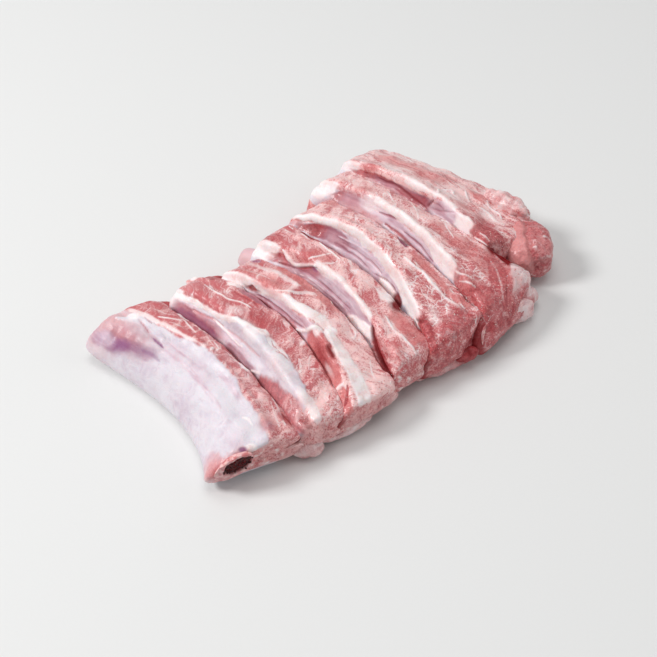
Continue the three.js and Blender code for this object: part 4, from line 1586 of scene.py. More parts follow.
RIB_5 = Rib(5, FORMS[4], (-60, -65, -10), (0.2, 0.7, 0.9), (0.6, 0.6, 0.25), (0.7, 0.3, 0.08),
            (5.2, 4.6, 6), features=(
    Band(FILM, ((-10, 3.6, 6.6), (30, 3.6, 6.8), (50, 3.6, 6.6), (72, 3.6, 6.6), (90, 3.6, 6.8)),
         0.3, 1.5, 1.2),
    Band(FLESH, ((-10, 5.6, 7.4), (5, 5.8, 7.2), (11, 6, 7)), 0, 2, 1.4, 0.6),
    Band(LILAC, ((20, 3.8, 6.8), (40, 3.8, 6.8), (60, 3.9, 6.6), (72, 4.2, 6.4)), 0, 2.2, 1.6, 0.8),
    Band(MAUVE, ((17, 4.9, 6.8), (22, 5, 6.9), (32, 5, 6.6), (38, 5.2, 6.2)), -0.3, 1.6, 1.4, 0.9),
    Seam(MAUVE, ((30, 5.2), (42, 5.2), (54, 5.1)), 1.2, -0.4, 0.7),
    Seam(MAUVE, ((34, 5.7), (46, 5.8), (60, 5.9)), 1.2, -0.4, 0.7),
    Seam(LILAC, ((30, 6.1), (45, 6.3), (60, 6.3)), 1.2, 0.3, 0.9),
    Band(RAW, ((8, 5.4, 6.3), (12, 5.2, 6.5), (17, 5, 6.8), (22, 5.2, 6.9)), -0.4, 2, 1.4, 0.95),
    Band(BLOOD_AND_SHADE, ((9, 5.7, 6.1), (13, 5.6, 6.2), (17, 5.6, 6.4)), 0, 2.2, 1.4, 0.35),
    Band(FAT, ((3, 7, 8.2), (10, 6.8, 8.1), (20, 6.9, 7.8), (27, 6.9, 7.7), (45, 6.7, 7.6), (60, 6.5, 7.5),
         (70, 6.4, 7.6), (76, 5.8, 7.9), (86, 5.7, 7.8), (90, 6.4, 7.4)), 0.9, 1.6, 1.5, 0.92),
    Band(FAT, ((60, 4.9, 5.6), (64, 4.8, 5.9), (70, 4.8, 5.9), (74, 5.1, 5.6)), 1.3, 1.2),
    Seam(BLOOD_AND_SHADE, ((56, 5.1), (60, 5.5), (64, 5.9), (68, 6), (71.5, 5.9), (74, 5.5)), 0.9, -0.7, 0.7),
    Patch(BLOOD_AND_SHADE, (73.5, 5.3), (6, 5), 0, -0.8, 0.95, 0.7),
    Band(RAW, ((87, 6.6, 8.3), (92, 6.6, 8.7), (102, 6.6, 8.7)), 0.5, 1.6, 1.4, 0.9),
    Band(FLESH, ((90, 5.2, 7), (95, 5, 7.2), (102, 5, 7.2)), 0, 1.6, 1.4, 0.85),
    Seam(BLOOD_AND_SHADE, ((86, 6.6), (89, 7.3), (90, 8.2)), 1.4, -0.8, 0.8),
    Seam(FAT, ((63, 9.7), (69, 9.9), (73, 10.2), (80, 10.2), (87, 10.4), (97, 10.8)), 1.6, 0.5),
    Seam(FAT, ((83, 10.9), (88, 11.1), (93, 10.9), (97, 10.7)), 1.3, 0.4),
    Band(FLESH, ((62, 10.4, 11.2), (75, 10.4, 11.4), (86, 10.6, 11), (95, 11, 11.6)), 0.1, 1.6, 1.2, 0.85),
    Seam(RAW, ((66, 10.3), (74, 10.6), (82, 10.6)), 1, -0.3, 0.7),
    Patch(RAW, (55, 12.2), (7, 7), 0, -1.2, 0.9, 0.6),
    Patch(BRUISE, (55, 12.3), (6, 6), 0, -0.4, 0.6, 0.8),
    Band(FLESH, ((3, 10.6, 11.8), (7, 10.5, 12.2), (12, 10.8, 11.8)), 0.2, 1.6, 1.4, 0.7),
    Seam(FAT, ((22, 9.2), (30, 10), (36, 11)), 0.9, 0.2, 0.7),
    Seam(FAT, ((45, 9), (52, 10.2), (58, 11)), 0.9, 0.2, 0.7),
    Seam(BLOOD_AND_SHADE, ((86, 12.2), (91, 11.8), (96, 12)), 1.8, -1, 0.8),
    Patch(FAT, (90, 9.2), (7, 5), 0, 0.2, 0.35, 1.3),
    Band(RAW, ((93, 9.6, 10.8), (96, 9.2, 11), (99, 8.8, 11.2), (105, 8.8, 11.2)), 0.2, 2.4, 1.8, 0.75),
))

RIB_6 = Rib(6, FORMS[5], (-35, -50, -8), (0.2, 0.7, 0.8), (0.6, 0.7, 0.2), (0.9, 0.2, 0.08),
            (4.4, 5, 5.9), features=(
    Band(FILM, ((-10, 3.6, 6.6), (30, 3.6, 6.8), (50, 3.6, 6.8), (80, 3.6, 6.6), (84, 3.6, 6)),
         0.3, 1.5, 1.2),
    Band(FAT, ((-10, 3, 8.4), (3, 4, 8), (8, 4.2, 7.8), (12, 5.5, 7.4)), 0.9, 1.6, 1.6, 0.8),
    Patch(FLESH, (24, 5.4), (18, 7), -4, 0, 0.6, 1.2),
    Patch(MAUVE, (20, 6.2), (18, 8), -4, -0.2, 0.75, 1.1),
    Band(RAW, ((11.5, 4.2, 5.6), (13.5, 4.2, 6.6), (16, 4.4, 6.9)), -0.5, 1.6, 1.2, 0.85),
    Band(LILAC, ((28, 5.5, 7.6), (34, 5.4, 7.6), (40, 5.6, 7), (55, 5.4, 6.9), (72, 5.4, 6.8)),
         0, 1.8, 1.4, 0.85),
    Patch(FAT, (32, 6.8), (12, 8), 0, 0.3, 0.6, 1.2),
    Band(FLESH, ((29, 4.6, 5.6), (35, 4.5, 5.6), (41, 4.6, 5.4)), 0.1, 2.4, 1.6, 0.5),
    Seam(MAUVE, ((37, 6.3), (42, 6.6), (48, 6.9)), 1.3, -0.5, 0.85),
    Seam(RAW, ((38, 6.4), (42, 6.7), (47, 6.9)), 0.7, -0.2, 0.7),
    Seam(MAUVE, ((52, 6.2), (57, 6.3), (65, 6.2), (70, 5.9)), 1.3, -0.5, 0.8),
    Seam(RAW, ((42, 5.5), (50, 5.6), (58, 5.4), (66, 5.3)), 2, -0.4, 0.8),
    Band(FAT, ((33, 7, 8.3), (45, 6.9, 8.4), (55, 6.9, 8.4), (66, 6.8, 8.4), (70, 6, 8.3), (78, 5.9, 8.3),
         (83, 6.4, 7.8)), 0.8, 1.8, 1.6, 0.9),
    Band(RAW, ((81, 5.8, 7.9), (86, 5.8, 8.5), (95, 5.8, 8.6), (102, 5.8, 8.6)), 0.4, 2, 1.8, 0.7),
    Band(FLESH, ((84, 6.6, 8.8), (93, 6.6, 9.2), (102, 6.6, 9.2)), 0.1, 2.4, 1.8, 0.5),
    Band(RAW, ((90, 7, 8.8), (95, 6.6, 9.2), (105, 6.6, 9.2)), 0.1, 2.8, 2, 0.55),
    Seam(FAT, ((80, 7.2), (85, 8), (90, 8.8)), 1, 0.3, 0.8),
    Seam(FAT, ((84, 6.8), (89, 7.7), (93, 8.4)), 0.9, 0.3, 0.8),
    Band(FLESH, ((58, 9.4, 10.8), (75, 9.4, 11), (90, 9.6, 11), (102, 9.8, 11)), 0, 2.2, 1.8, 0.6),
    Seam(RAW, ((58, 9.2), (66, 9.6), (76, 9.8)), 1, -0.2, 0.55),
    Seam(RAW, ((70, 10.2), (80, 10.4), (90, 10.4)), 1, -0.2, 0.55),
    Seam(FAT, ((30, 11), (36, 10), (42, 9.2)), 1.1, 0.2, 0.8),
    Patch(FLESH, (24, 8.6), (9, 6), 30, 0.1, 0.6, 1.2),
    Band(BLOOD_AND_SHADE, ((77, 11.6, 15), (84, 11.3, 15), (92, 11.1, 15), (97, 11.5, 15)), -3, 1.2),
    Patch(BLOOD_AND_SHADE, (82, 12.6), (10, 11), 0, 0, 1, 0.7),
    Patch(BLOOD_AND_SHADE, (91, 12.3), (9, 11), 0, 0, 0.9, 0.7),
    Seam(FAT, ((42, 12), (44, 11.2), (50, 10.2), (54, 9.4)), 1.2, 0.2, 0.8),
    Seam(FAT, ((60, 11.6), (63, 10.8), (70, 10.1)), 1.2, 0.2, 0.9),
    Band(RAW, ((84, 10.4, 11.2), (90, 10, 11), (96, 9.3, 10.5), (103, 8.8, 10.2)), -0.3, 1.6, 1.4, 0.6),
    Seam(FAT, ((86, 10.6), (92, 10.3), (97, 9.9), (102, 9.4)), 0.8, 0.2, 0.55),
    Seam(BLOOD_AND_SHADE, ((90, 10.8), (95, 10.5), (100, 9.9), (104, 9.6)), 0.8, -0.4, 0.6),
    Band(FAT, ((93, 11.2, 20.5), (96.5, 10.6, 20.8), (105, 10, 21.4)), 0.7, 2.2, 1.8, 0.5),
    Seam(FLESH, ((94, 12.6), (97, 13.6), (99, 15.5)), 1.5, -0.6, 0.8),
    Seam(RAW, ((97, 11.6), (98.5, 14), (97.5, 17.5)), 1.2, -0.6, 0.7),
))

RIB_7 = Rib(7, FORMS[6], (-20, -35, -15), (0.5, 0.5, 0.6), (0.6, 0.75, 0.5), (0.6, 0.3, 0.1),
            (5.9, 5.4, 6.3), features=(
    Band(FILM, ((-10, 3.6, 7.6), (5, 3.6, 7.6), (12, 3.6, 6.6), (55, 3.6, 6.8), (86, 3.6, 7)),
         0.3, 1.5, 1.2),
    Band(FAT, ((0, 6, 8.2), (4, 5.8, 8), (9, 6, 7.8), (12, 6.6, 7.4)), 0.6, 1.8, 1.6, 0.7),
    Band(RAW, ((9, 6, 6.5), (13, 5.9, 6.9), (20, 6.1, 7), (34, 6.2, 6.8)), -0.5, 1.8, 1.4, 0.85),
    Band(FLESH, ((13, 7, 8), (18, 7, 8.5), (23, 7.2, 8.2)), 0.1, 1.6, 1.4, 0.8),
    Band(FLESH, ((10, 4.6, 6.2), (30, 4.4, 6.2), (50, 4.4, 6)), 0.1, 2, 1.4, 0.6),
    Band(MAUVE, ((22, 6, 6.7), (32, 6, 6.7), (42, 5.7, 6.8), (50, 5.4, 6.8), (60, 5.4, 6.9)),
         -0.6, 1.6, 1.2, 0.9),
    Band(RAW, ((36, 5.9, 6.5), (46, 5.6, 6.6), (58, 5.5, 6.7)), -0.4, 2, 1.6, 0.55),
    Band(LILAC, ((60, 5.9, 7.4), (68, 5.8, 7.6), (78, 5.8, 7.6)), 0, 1.6, 1.4, 0.9),
    Band(MAUVE, ((59, 6, 7), (64, 5.9, 7), (70, 6, 6.8)), -0.2, 1.6, 1.2, 0.6),
    Seam(BLOOD_AND_SHADE, ((57, 5.9), (58, 6.5), (60, 7.1)), 1.3, -0.9, 0.7),
    Seam(MAUVE, ((60, 6.2), (65, 6.4), (70, 6.9), (74, 7.4)), 0.9, -0.3, 0.7),
    Band(FAT, ((40, 7.1, 8.2), (45, 7, 8.4), (52, 7.1, 8.1), (62, 7.4, 8.3), (74, 7.6, 8.4)),
         0.6, 1.8, 1.6, 0.8),
    Band(FAT, ((76, 6, 8), (81, 5.8, 8.3), (86, 6, 8.2), (89, 6.6, 7.8)), 0.5, 1.8, 1.6, 0.9),
    Seam(BLOOD_AND_SHADE, ((24, 6.6), (36, 6.5), (46, 6.2), (52, 5.9), (58, 5.8)), 1.6, -0.5, 0.6),
    Band(RAW, ((87, 6.8, 9), (93, 6.6, 9.4), (102, 6.6, 9.4)), 0.2, 2, 1.8, 0.8),
    Seam(FAT, ((90, 6.7), (95, 6.9), (100, 7)), 1.1, 0.3, 0.85),
    Seam(FAT, ((92, 7.8), (96, 8), (100, 8)), 0.9, 0.3, 0.7),
    Seam(FAT, ((15, 9.4), (35, 9.6), (55, 9.4), (75, 9.5)), 1, 0.2, 0.6),
    Seam(FAT, ((25, 10.2), (45, 10.3), (60, 10.1), (80, 10.2)), 0.9, 0.2, 0.6),
    Band(FLESH, ((10, 9.8, 10.8), (40, 9.6, 10.6), (50, 9.2, 10.4)), 0.1, 2.4, 1.8, 0.6),
    Seam(RAW, ((14, 10.2), (28, 10.1), (40, 9.9), (49, 9.5)), 1.2, -0.2, 0.5),
    Seam(RAW, ((50, 10.3), (62, 10.1), (76, 10.2), (88, 9.9)), 1, -0.2, 0.4),
    Seam(RAW, ((88, 9.6), (92, 9.9), (94, 10.4), (92, 11)), 1.2, -0.4, 0.7),
    Patch(FAT, (30, 8.8), (22, 7), -12, 0.1, 0.45, 1.5),
    Patch(FAT, (62, 9.2), (14, 8), 10, 0.1, 0.5, 1.5),
    Patch(FAT, (82, 9.8), (10, 7), 10, 0.1, 0.4, 1.5),
    Patch(FLESH, (42, 9.6), (12, 7), 0, 0.1, 0.6, 1.3),
    Patch(FLESH, (72, 9), (9, 6), 20, 0.2, 0.7, 1.2),
    Patch(FLESH, (67, 10.4), (10, 6), -10, 0.7, 0.8, 1.1),
    Patch(RAW, (86, 9.2), (10, 7), -20, -0.7, 0.65, 1.3),
    Patch(RAW, (79, 8.6), (6, 4), 20, -0.5, 0.55, 1.2),
    Patch(RAW, (48, 10.6), (12, 4), 0, -0.6, 0.5, 1.3),
    Seam(FAT, ((60, 8.3), (57, 8.7), (56.5, 9.2), (59, 9.6), (62, 9.4)), 1.6, 0.9, 0.9),
    Seam(FAT, ((61, 10.2), (64, 10), (70, 9.7)), 1.3, 0.5, 0.9),
    Seam(FAT, ((72, 10.5), (77, 10.2), (83, 10.3), (87, 10.1)), 1.4, 0.5, 0.8),
    Seam(FAT, ((75, 9.7), (80, 9.9), (86, 9.8), (91, 10)), 1.6, 0.4, 0.75),
    Seam(BLOOD_AND_SHADE, ((74, 9.3), (80, 9.2), (86, 9.5)), 0.8, -0.5, 0.4),
    Band(LEAN, ((20, 11.2, 13), (26, 10.8, 14.5), (40, 10.8, 14.5), (50, 11, 14.5), (56, 11.8, 13)),
         -2.2, 2, 1.2, 0.5),
))

RIBS = (RIB_1, RIB_2, RIB_3, RIB_4, RIB_5, RIB_6, RIB_7)


# --- The bones, the loose lobe and the scraps ---


@dataclass
class Bone:
    """One rib's bone, whose cut near end shows its marrow.

    Attributes:
        number: Which rib it is in.
        form: That rib's sizes.
        start: Where it starts, as a share of the rib.
        width: Its width.
        thickness: Its thickness.
        proud: How far its near end stands out of the meat.
        shift: How far its near end lies further across the rib and up.
        open: Whether its marrow shows.
    """

    number: int
    form: RibForm
    start: float = 0.09
    width: float = 14.0
    thickness: float = 9.5
    proud: float = 0.6
    shift: Spot = (0.0, 0.0)
    open: bool = False

    INSET, HEIGHT_SHARE, FULL_FACE = 9.0, 0.42, 17.0
    KEEP, END_SHARE = 0.72, 0.08
    ROWS, AROUND, CAP_ROWS = 60, 80, 26
    WALL_SHARE, OFF_CENTRE = 0.7, 0.16

    def _stations(self) -> tuple[Array, Array, Array]:
        """Spreads the rings: the caps' rings draw in to the middle of each end.

        Returns:
            Each ring's share along the bone, the share of its section that is left, and its share along
            the rib.
        """
        inward = np.linspace(1, 0, self.CAP_ROWS, endpoint=False)[1:]
        step = np.concatenate([np.zeros(len(inward)), np.linspace(0, 1, self.ROWS), np.ones(len(inward))])
        keep = np.concatenate([inward[::-1], np.ones(self.ROWS), inward])
        return step, keep, lerp(self.start, 1 + self.proud / self.form.length, step)

    def _rings(self, step: Array, keep: Array, share: Array, around: Array) -> Array:
        """Gives its smooth sections, which lie along the rib's slanting bone side.

        Args:
            step: Each ring's share along the bone.
            keep: The share of its section that is left.
            share: Its share along the rib.
            around: The angles of a ring's points.

        Returns:
            The points.
        """
        late = smoothstep(0.6, 1, share)
        face, crest = along(self.form.face, share), along(self.form.crest_z, share)
        size = rounded(step, self.END_SHARE, self.KEEP) * np.minimum(1, 0.2 + face / self.FULL_FACE)
        size = size * lerp(1, 1 / self.KEEP, smoothstep(0.9, 1, step) * self.open)
        tilt = np.arctan2(crest, face)[:, None]
        u = 0.5 * self.width * (size * keep)[:, None] * np.cos(around)
        v = 0.5 * self.thickness * (size * keep)[:, None] * np.sin(around)
        across = (self.INSET - face + self.shift[0] * late)[:, None] + u * np.cos(tilt) - v * np.sin(tilt)
        height = (self.HEIGHT_SHARE * crest + self.shift[1] * late)[:, None]
        height = height + u * np.sin(tilt) + v * np.cos(tilt)
        return self.form.placed(share, np.stack([across, height], -1))

    def build(self, finish: bpy.types.Material) -> bpy.types.Object:
        """Makes the bone.

        Args:
            finish: Its material.

        Returns:
            The bone's object.
        """
        step, keep, share = self._stations()
        around = -2 * math.pi * np.arange(self.AROUND)[None] / self.AROUND
        skin = Skin(self._rings(step, keep, share, around))
        near_cap = ((step == 1) & (keep < 1))[:, None] + 0.0 * around
        away = np.hypot(keep[:, None] * np.cos(around) - self.OFF_CENTRE, keep[:, None] * np.sin(around))
        away = away + 0.12 * Grain(3.4, 23, 2).at(skin.rings)
        hollow = self.open * near_cap * smoothstep(self.WALL_SHARE + 0.05, self.WALL_SHARE - 0.05, away)
        pits = Grain(1.2, 21 + self.number, 2).at(skin.rings)
        uneven = lerp(0.15, 0.9, near_cap * self.open)
        skin.raise_by(hollow * (0.6 * pits - 1.2) + uneven * Grain(2.8, 5, 3).at(skin.rings))
        stub = float(self.start < 0)
        tip = smoothstep(0.05, 0.0, step)[:, None] * smoothstep(1.0, 0.5, keep)[:, None]
        sides = 0.35 * self.open * smoothstep(0.97, 0.9, keep)[:, None]
        nil = np.zeros(hollow.shape)
        skin.layers = {"marrow": hollow, "skin": nil + np.maximum(stub, sides * (1 - hollow)),
                       "tip": nil + stub * tip}
        return hand_over(skin.build(f"bone_{self.number}_cut", finish), f"bone_{self.number}")


@dataclass
class Lump:
    """A rounded piece of meat.

    Attributes:
        name: Its object's name.
        centre: Its middle.
        radii: Its half sizes.
        turn: How far it is turned on the floor, in degrees.
        tilt: How far its length is tipped up, in degrees.
        tissues: What it is made of, each with its share.
        lumps: How far its broad lumps rise.
        grains: How far its fine grains rise.
        seed: Which pattern of lumps it has.
        boxy: How square it is: 2 is round.
    """

    name: str
    centre: Triple
    radii: Triple
    turn: float = 0.0
    tilt: float = 0.0
    tissues: tuple[tuple[Tissue, float], ...] = ((LEAN, 1.0),)
    lumps: float = 0.6
    grains: float = 0.25
    seed: int = 1
    boxy: float = 2.0

    ROWS, AROUND, FLOOR_GAP = 40, 64, 0.02
    MARBLING = {"cells": 0.3, "feather": 0.6, "capped": 0.5, "pale": 0.5}

    def _ball(self) -> tuple[Array, Array]:
        """Lays out a round ball, and the same ball drawn out, turned and placed.

        Returns:
            The directions on the ball and the places of its points.
        """
        down = np.linspace(0.02, math.pi - 0.02, self.ROWS)[:, None]
        around = np.linspace(0, 2 * math.pi, self.AROUND, endpoint=False)[None]
        ball = np.stack([np.cos(down) + 0 * around, np.sin(down) * np.cos(around),
                         np.sin(down) * np.sin(around)], -1)
        reach = (np.abs(ball) ** self.boxy).sum(-1, keepdims=True) ** (-1 / self.boxy)
        x, y, z = (ball * reach * np.array(self.radii)).transpose(2, 0, 1)
        turn, tilt = math.radians(self.turn), math.radians(self.tilt)
        x, z = x * math.cos(tilt) - z * math.sin(tilt), x * math.sin(tilt) + z * math.cos(tilt)
        x, y = x * math.cos(turn) - y * math.sin(turn), x * math.sin(turn) + y * math.cos(turn)
        return ball, np.stack([x, y, z], -1) + np.array(self.centre)

    def _dress(self, ball: Array, points: Array) -> tuple[Array, dict[Tissue, Array]]:
        """Gives its relief and its tissues.

        Args:
            ball: Not used.
            points: Their places.

        Returns:
            How far each point rises, and how much of each tissue it has, whose sum needn't be 1.
        """
        broad, fine = Grain(5, self.seed, 2).at(points), Grain(1.8, self.seed + 50, 2).at(points)
        paint = {}
        for step, (tissue, share) in enumerate(self.tissues):
            paint[tissue] = share * np.clip(1 + 2 * Grain(4, self.seed + 7 * step, 2).at(points), 0.05, 3)
        return self.lumps * broad + self.grains * fine, paint

    def build(self, finish: bpy.types.Material) -> bpy.types.Object:
        """Makes the piece.

        Args:
            finish: Its material.

        Returns:
            Its object.
        """
        ball, points = self._ball()
        rise, paint = self._dress(ball, points)
        skin = Skin(points)
        skin.raise_by(rise)
        skin.rings[..., 2] = np.maximum(skin.rings[..., 2], self.FLOOR_GAP)
        total = sum(paint.values())
        skin.layers = {tissue.value: paint.get(tissue, 0 * total) / total for tissue in Tissue}
        skin.layers |= {name: np.full(rise.shape, level) for name, level in self.MARBLING.items()}
        flat = np.stack([points[..., 0] + points[..., 1], points[..., 2]], -1)
        skin.maps = {GRAIN_MAP: flat, RUN_MAP: flat}
        return hand_over(skin.build(self.name, finish), MEAT_NODE)


@dataclass
class Lobe(Lump):
    """The loose lobe at the rack's far right corner: a smooth mass and a grainy one with a crease between."""

    ROWS, AROUND = 120, 170
    CREASE_ACROSS, CREASE_BEND, CREASE_WIDTH, CREASE_DEPTH = 2.8, 0.35, 1.4, 0.9
    CREASE_FACES = (0.698, -0.716, 0.0)

    def _dress(self, ball: Array, points: Array) -> tuple[Array, dict[Tissue, Array]]:
        """Gives its relief and its tissues.

        Args:
            ball: The directions of its points from its middle.
            points: Their places.

        Returns:
            How far each point rises, and how much of each tissue it has, whose sum needn't be 1.
        """
        offset = points - np.array(self.centre)
        across = offset @ np.array(self.CREASE_FACES)
        broad, fine = Grain(9, self.seed, 2).at(points), Grain(2.6, self.seed + 2, 4).at(points)
        medium = Grain(4, self.seed + 4, 2).at(points)
        gap = across - self.CREASE_ACROSS + self.CREASE_BEND * np.abs(offset[..., 2]) + 1.6 * medium
        crease = np.exp(-(gap / self.CREASE_WIDTH) ** 2) * smoothstep(-4, 2, offset[..., 2])
        grainy = smoothstep(-0.6, 0.8, gap)
        rim = smoothstep(0.1, 0.6, -ball[..., 2] + 0.5 * medium + 0.25 * broad) * (1 - grainy)
        flecks = smoothstep(0.1, 0.6, fine + 0.5 * medium)
        rise = 1.5 * broad + 0.6 * medium + fine * lerp(0.08, 0.7, grainy) - self.CREASE_DEPTH * crease
        return rise, {
            RAW: grainy * (0.75 - 0.65 * flecks),
            LEAN: grainy * (0.35 - 0.15 * flecks),
            FAT: 0.45 * grainy * flecks + 0.8 * rim + 0.1 * (1 - grainy),
            FLESH: (1 - grainy) * (0.8 - 0.5 * rim),
            # painted shade in the crease, in the dark red blood colour
            BLOOD_AND_SHADE: 0.3 * crease,
        }


LOBE = Lobe("loose_lobe", (90.2, -39.8, 12), (14.5, 12, 11), 50, seed=31, boxy=2.7)

SCRAPS = (
    Lump("tendon", (79.4, -31, 17.5), (6, 1.8, 1.6), 45, 38, ((FILM, 0.8), (FAT, 0.2)), 0.4, 0.1, 3),
    Lump("web_2", (-66.8, -46.4, 5.5), (7.5, 4.5, 5), -35, 0,
         ((LEAN, 0.5), (FAT, 0.4), (RAW, 0.2)), 0.9, 0.3, 5),
    Lump("web_3", (-46.5, -50.4, 4.6), (13, 3.6, 3.4), -12, 0,
         ((LEAN, 0.5), (FAT, 0.5), (FLESH, 0.2)), 1, 0.3, 8),
    Lump("under_flap", (13, -55, 4.6), (22, 6, 4.6), -14, 0,
         ((RAW, 0.4), (LEAN, 0.5), (FAT, 0.2)), 1.2, 0.4, 12),
    Lump("flap_6", (57.2, -61.4, 8), (10, 3.8, 7), -12, -28,
         ((FAT, 0.5), (LEAN, 0.6), (FILM, 0.1)), 1.3, 0.5, 53),
    Lump("red_corner", (20, -61.5, 7.5), (6, 3.2, 3.6), -25, 10, ((RAW, 0.8), (BLOOD_AND_SHADE, 0.25)), 0.6, 0.2, 15),
    Lump("nub_3", (-24.8, 38.4, 15.5), (5.5, 3.4, 3.2), -40, 12, ((FAT, 0.8), (LEAN, 0.3)), 0.7, 0.2, 18),
    Lump("tab_2", (-39.4, 52.4, 17.4), (5.6, 2.6, 1.4), -52, 8, ((FLESH, 0.6), (FAT, 0.5)), 0.8, 0.2, 33),
    Lump("shoulder_7", (100, -18.5, 20.8), (13.5, 5.5, 6), -84, 0,
         ((LEAN, 0.6), (FAT, 0.4), (RAW, 0.2)), 1.7, 0.6, 62),
    Lump("tuft_7", (98, -4, 19), (3.6, 2.2, 1.6), -60, 20, ((LEAN, 0.7), (FAT, 0.3)), 0.8, 0.3, 41),
    Lump("curl_7", (88, 10, 20), (4.5, 2.6, 2.4), -30, 0, ((FAT, 0.6), (FLESH, 0.4)), 0.6, 0.2, 21),
)


@dataclass
class Scatter:
    """Small pieces strewn over a surface.

    Attributes:
        name: The object's name.
        layer: The surface's layer that says where they lie.
        per_square_cm: How many lie on each square centimetre where the layer is 1.
        size: Their half width.
        length: How many times longer than wide they are; above 1 they lie flat.
        seed: Which pattern it is.
    """

    name: str
    layer: str
    per_square_cm: float
    size: float
    length: float = 1.0
    seed: int = 1

    SIZES = (("Size", "NodeSocketFloat"), ("Density", "NodeSocketFloat"), ("Seed", "NodeSocketInt"),
             ("Finish", "NodeSocketMaterial"))
    LEAST, MOST, SPIN = (0.5, 0.5, 0.4), (1.5, 1.4, 1.1), (0.25, 0.25, 3.1)
    PER_SQUARE_METRE = 1e4

    def _shape(self, graph: Graph, size: Socket) -> Socket:
        """Makes one piece: a ball, or a rod that lies flat where it is longer than wide.

        Args:
            graph: The group that it is part of.
            size: Its half width.

        Returns:
            The piece.
        """
        if self.length == 1:
            return graph.first("GeometryNodeMeshIcoSphere", {}, {"Radius": size, "Subdivisions": 1})
        depth = graph.first("ShaderNodeMath", {"operation": "MULTIPLY"}, {0: size, 1: 2 * self.length})
        rod = graph.first("GeometryNodeMeshCylinder", {}, {"Vertices": 5, "Radius": size, "Depth": depth})
        return graph.first("GeometryNodeTransform", {}, {"Geometry": rod, "Rotation": (math.pi / 2, 0, 0)})

    def _group(self) -> bpy.types.NodeTree:
        """Writes the Geometry Nodes group.

        Returns:
            The group.
        """
        tree = bpy.data.node_groups.new(self.name, "GeometryNodeTree")
        tree.interface.new_socket("Geometry", in_out="INPUT", socket_type="NodeSocketGeometry")
        for name, kind in self.SIZES:
            tree.interface.new_socket(name, in_out="INPUT", socket_type=kind)
        tree.interface.new_socket("Geometry", in_out="OUTPUT", socket_type="NodeSocketGeometry")
        graph = Graph(tree)
        given = graph.node("NodeGroupInput", {}, {}).outputs
        where = graph.first("GeometryNodeInputNamedAttribute", {"data_type": "FLOAT"}, {"Name": self.layer})
        amount = graph.first("ShaderNodeMath", {"operation": "MULTIPLY"}, {0: where, 1: given["Density"]})
        points = graph.node("GeometryNodeDistributePointsOnFaces", {},
                            {"Mesh": given["Geometry"], "Density": amount, "Seed": given["Seed"]}).outputs
        scales = graph.first("FunctionNodeRandomValue", {"data_type": "FLOAT_VECTOR"},
                             {0: self.LEAST, 1: self.MOST, "Seed": given["Seed"]})
        placed = graph.first("GeometryNodeInstanceOnPoints", {},
                             {"Points": points["Points"], "Instance": self._shape(graph, given["Size"]),
                              "Rotation": points["Rotation"], "Scale": scales})
        spins = graph.first("FunctionNodeRandomValue", {"data_type": "FLOAT_VECTOR"},
                            {0: tuple(-angle for angle in self.SPIN), 1: self.SPIN})
        turned = graph.first("GeometryNodeRotateInstances", {},
                             {"Instances": placed, "Rotation": spins, "Local Space": True})
        real = graph.first("GeometryNodeRealizeInstances", {}, {"Geometry": turned})
        smooth = graph.first("GeometryNodeSetShadeSmooth", {}, {"Geometry": real})
        finish = {"Geometry": smooth, "Material": given["Finish"]}
        dressed = graph.first("GeometryNodeSetMaterial", {}, finish)
        graph.node("NodeGroupOutput", {}, {0: dressed})
        return tree

    def build(self, host: bpy.types.Object, node: str, slot: str,
              finish: bpy.types.Material) -> bpy.types.Object:
        """Strews the pieces and bakes them.

        Args:
            host: The surface.
            node: The part's node that they belong to.
            slot: Not used.
            finish: Their material.

        Returns:
            The object that holds them all.
        """
        name = f"{self.name}_{host.name}"
        carrier = bpy.data.objects.new(name + "_carrier", host.data.copy())
        bpy.context.collection.objects.link(carrier)
        modifier = carrier.modifiers.new("scatter", "NODES")
        modifier.node_group = self._group()
        values = {"Size": self.size * METRES, "Density": self.per_square_cm * self.PER_SQUARE_METRE,
                  "Seed": self.seed, "Finish": finish}
        for item in modifier.node_group.interface.items_tree:
            if item.in_out == "INPUT" and item.name in values:
                modifier[item.identifier] = values[item.name]
        evaluated = bpy.context.evaluated_depsgraph_get()
        evaluated.update()
        mesh = bpy.data.meshes.new_from_object(carrier.evaluated_get(evaluated))
        carrier.modifiers.clear()
        bpy.data.objects.remove(carrier)
        piece = bpy.data.objects.new(name, mesh)
        bpy.context.collection.objects.link(piece)
        return hand_over(piece, node)


# --- The studio ---


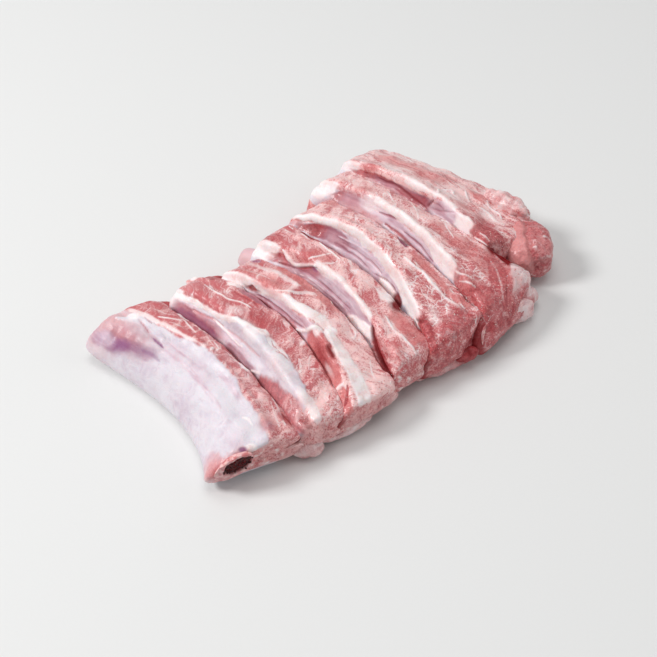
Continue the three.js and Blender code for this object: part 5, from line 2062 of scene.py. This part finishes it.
@dataclass
class Studio:
    """The pale floor, the soft light and the camera.

    Attributes:
        floor_size: The floor's width.
        eye: Where the camera stands.
        target: What it looks at.
        lens: Its focal length.
    """

    floor_size: float = 3000.0
    eye: Triple = (-304.47, -291.0, 427.53)
    target: Triple = (-6.64, -0.53, 0.0)
    lens: float = 70.0

    SENSOR_WIDTH, NEAREST = 36.0, 0.01
    SURROUND_COLOUR, SURROUND_STRENGTH = (0.98, 0.99, 1.0), 0.32

    def floor(self, finish: bpy.types.Material) -> None:
        """Lays the floor.

        Args:
            finish: Its material.
        """
        half = self.floor_size / 2 * METRES
        mesh = bpy.data.meshes.new("pale_floor")
        corners = [(-half, -half, 0), (half, -half, 0), (half, half, 0), (-half, half, 0)]
        mesh.from_pydata(corners, [], [(0, 1, 2, 3)])
        mesh.materials.append(finish)
        table = bpy.data.objects.new("pale_floor", mesh)
        bpy.context.collection.objects.link(table)

    def camera(self) -> None:
        """Places the camera."""
        lens = bpy.data.cameras.new("camera")
        lens.lens = self.lens
        lens.sensor_width = self.SENSOR_WIDTH
        lens.clip_start = self.NEAREST
        eye = bpy.data.objects.new("camera", lens)
        eye.location = Vector(self.eye) * METRES
        eye.rotation_euler = (Vector(self.target) - Vector(self.eye)).to_track_quat("-Z", "Y").to_euler()
        bpy.context.collection.objects.link(eye)
        bpy.context.scene.camera = eye

    def lamp(self, name: str, stands: Triple, size: float, power: float) -> None:
        """Hangs one soft lamp that shines at the rack.

        Args:
            name: Its name.
            stands: Where it hangs, in metres.
            size: Its width, in metres.
            power: Its power, in watts.
        """
        light = bpy.data.lights.new(name, "AREA")
        light.shape = "DISK"
        light.size = size
        light.energy = power
        holder = bpy.data.objects.new(name, light)
        holder.location = stands
        holder.rotation_euler = (-Vector(stands)).to_track_quat("-Z", "Y").to_euler()
        bpy.context.collection.objects.link(holder)

    def light(self) -> None:
        """Sets the lamps, the pale surround and a plain view transform."""
        self.lamp("window", (-0.95, 0.8, 1.15), 0.5, 17.5)
        self.lamp("overhead", (0.1, 0.1, 1.6), 1.2, 8)
        self.lamp("room", (0.9, -0.9, 0.8), 1.0, 2.0)
        world = bpy.data.worlds.new("surround")
        world.use_nodes = True
        background = world.node_tree.nodes["Background"].inputs
        background["Color"].default_value = (*self.SURROUND_COLOUR, 1.0)
        background["Strength"].default_value = self.SURROUND_STRENGTH
        bpy.context.scene.world = world
        bpy.context.scene.view_settings.view_transform = "Standard"

    def build(self) -> None:
        """Sets up the whole studio."""
        self.camera()
        self.floor(FloorFinish().make())
        self.light()


def strew(rib: bpy.types.Object, number: int, fat: bpy.types.Material,
          meat: bpy.types.Material) -> list[bpy.types.Object]:
    """Strews crumbs and shreds over a rib's cut end and its lip.

    Args:
        rib: The rib.
        number: Which rib it is.
        fat: The finish of crumbs and shreds of fat.
        meat: The finish of crumbs of meat.

    Returns:
        The pieces.
    """
    kinds = (
        (Scatter("fat_crumbs", "crumbs", 6, 0.2, seed=number), fat),
        (Scatter("meat_crumbs", "crumbs", 12, 0.3, seed=20 + number), meat),
        (Scatter("shreds", "shreds", 30, 0.14, 8.0, 40 + number), fat),
    )
    return [scatter.build(rib, MEAT_NODE, MEAT_SLOT, finish) for scatter, finish in kinds]


def main() -> None:
    """Builds the rack and the studio."""
    logging.basicConfig(level=logging.INFO, format="%(name)s: %(message)s", stream=sys.stdout)
    meat, bone = MeatFinish().make(), BoneFinish().make()
    ribs = [rib.build(meat) for rib in RIBS]
    bones = [Bone(1, FORMS[0], proud=3.0, shift=(3.6, 1.8), open=True).build(bone)]
    for number, form in enumerate(FORMS[1:], 2):
        bones.append(Bone(number, form, start=-0.06 if number == 4 else 0.09).build(bone))
    pieces = ribs + bones + [lump.build(meat) for lump in (LOBE, *SCRAPS)]
    fat = CrumbFinish("fat_crumbs", shade(246, 232, 229), shade(234, 204, 200)).make()
    pink = CrumbFinish("meat_crumbs", shade(222, 150, 147), shade(204, 118, 118)).make()
    red = CrumbFinish("marrow_crumbs", shade(96, 26, 28), shade(60, 12, 16)).make()
    for number, rib in enumerate(ribs[1:], 2):
        pieces += strew(rib, number, fat, pink)
    marrow = Scatter("marrow_grain", "marrow", 150, 0.45, seed=60)
    pieces.append(marrow.build(bones[0], "bone_1", BONE_SLOT, red))
    for piece in pieces:
        log.info("%s: %d faces", piece.name, len(piece.data.polygons))
    Studio().build()


if __name__ == "__main__":
    main()
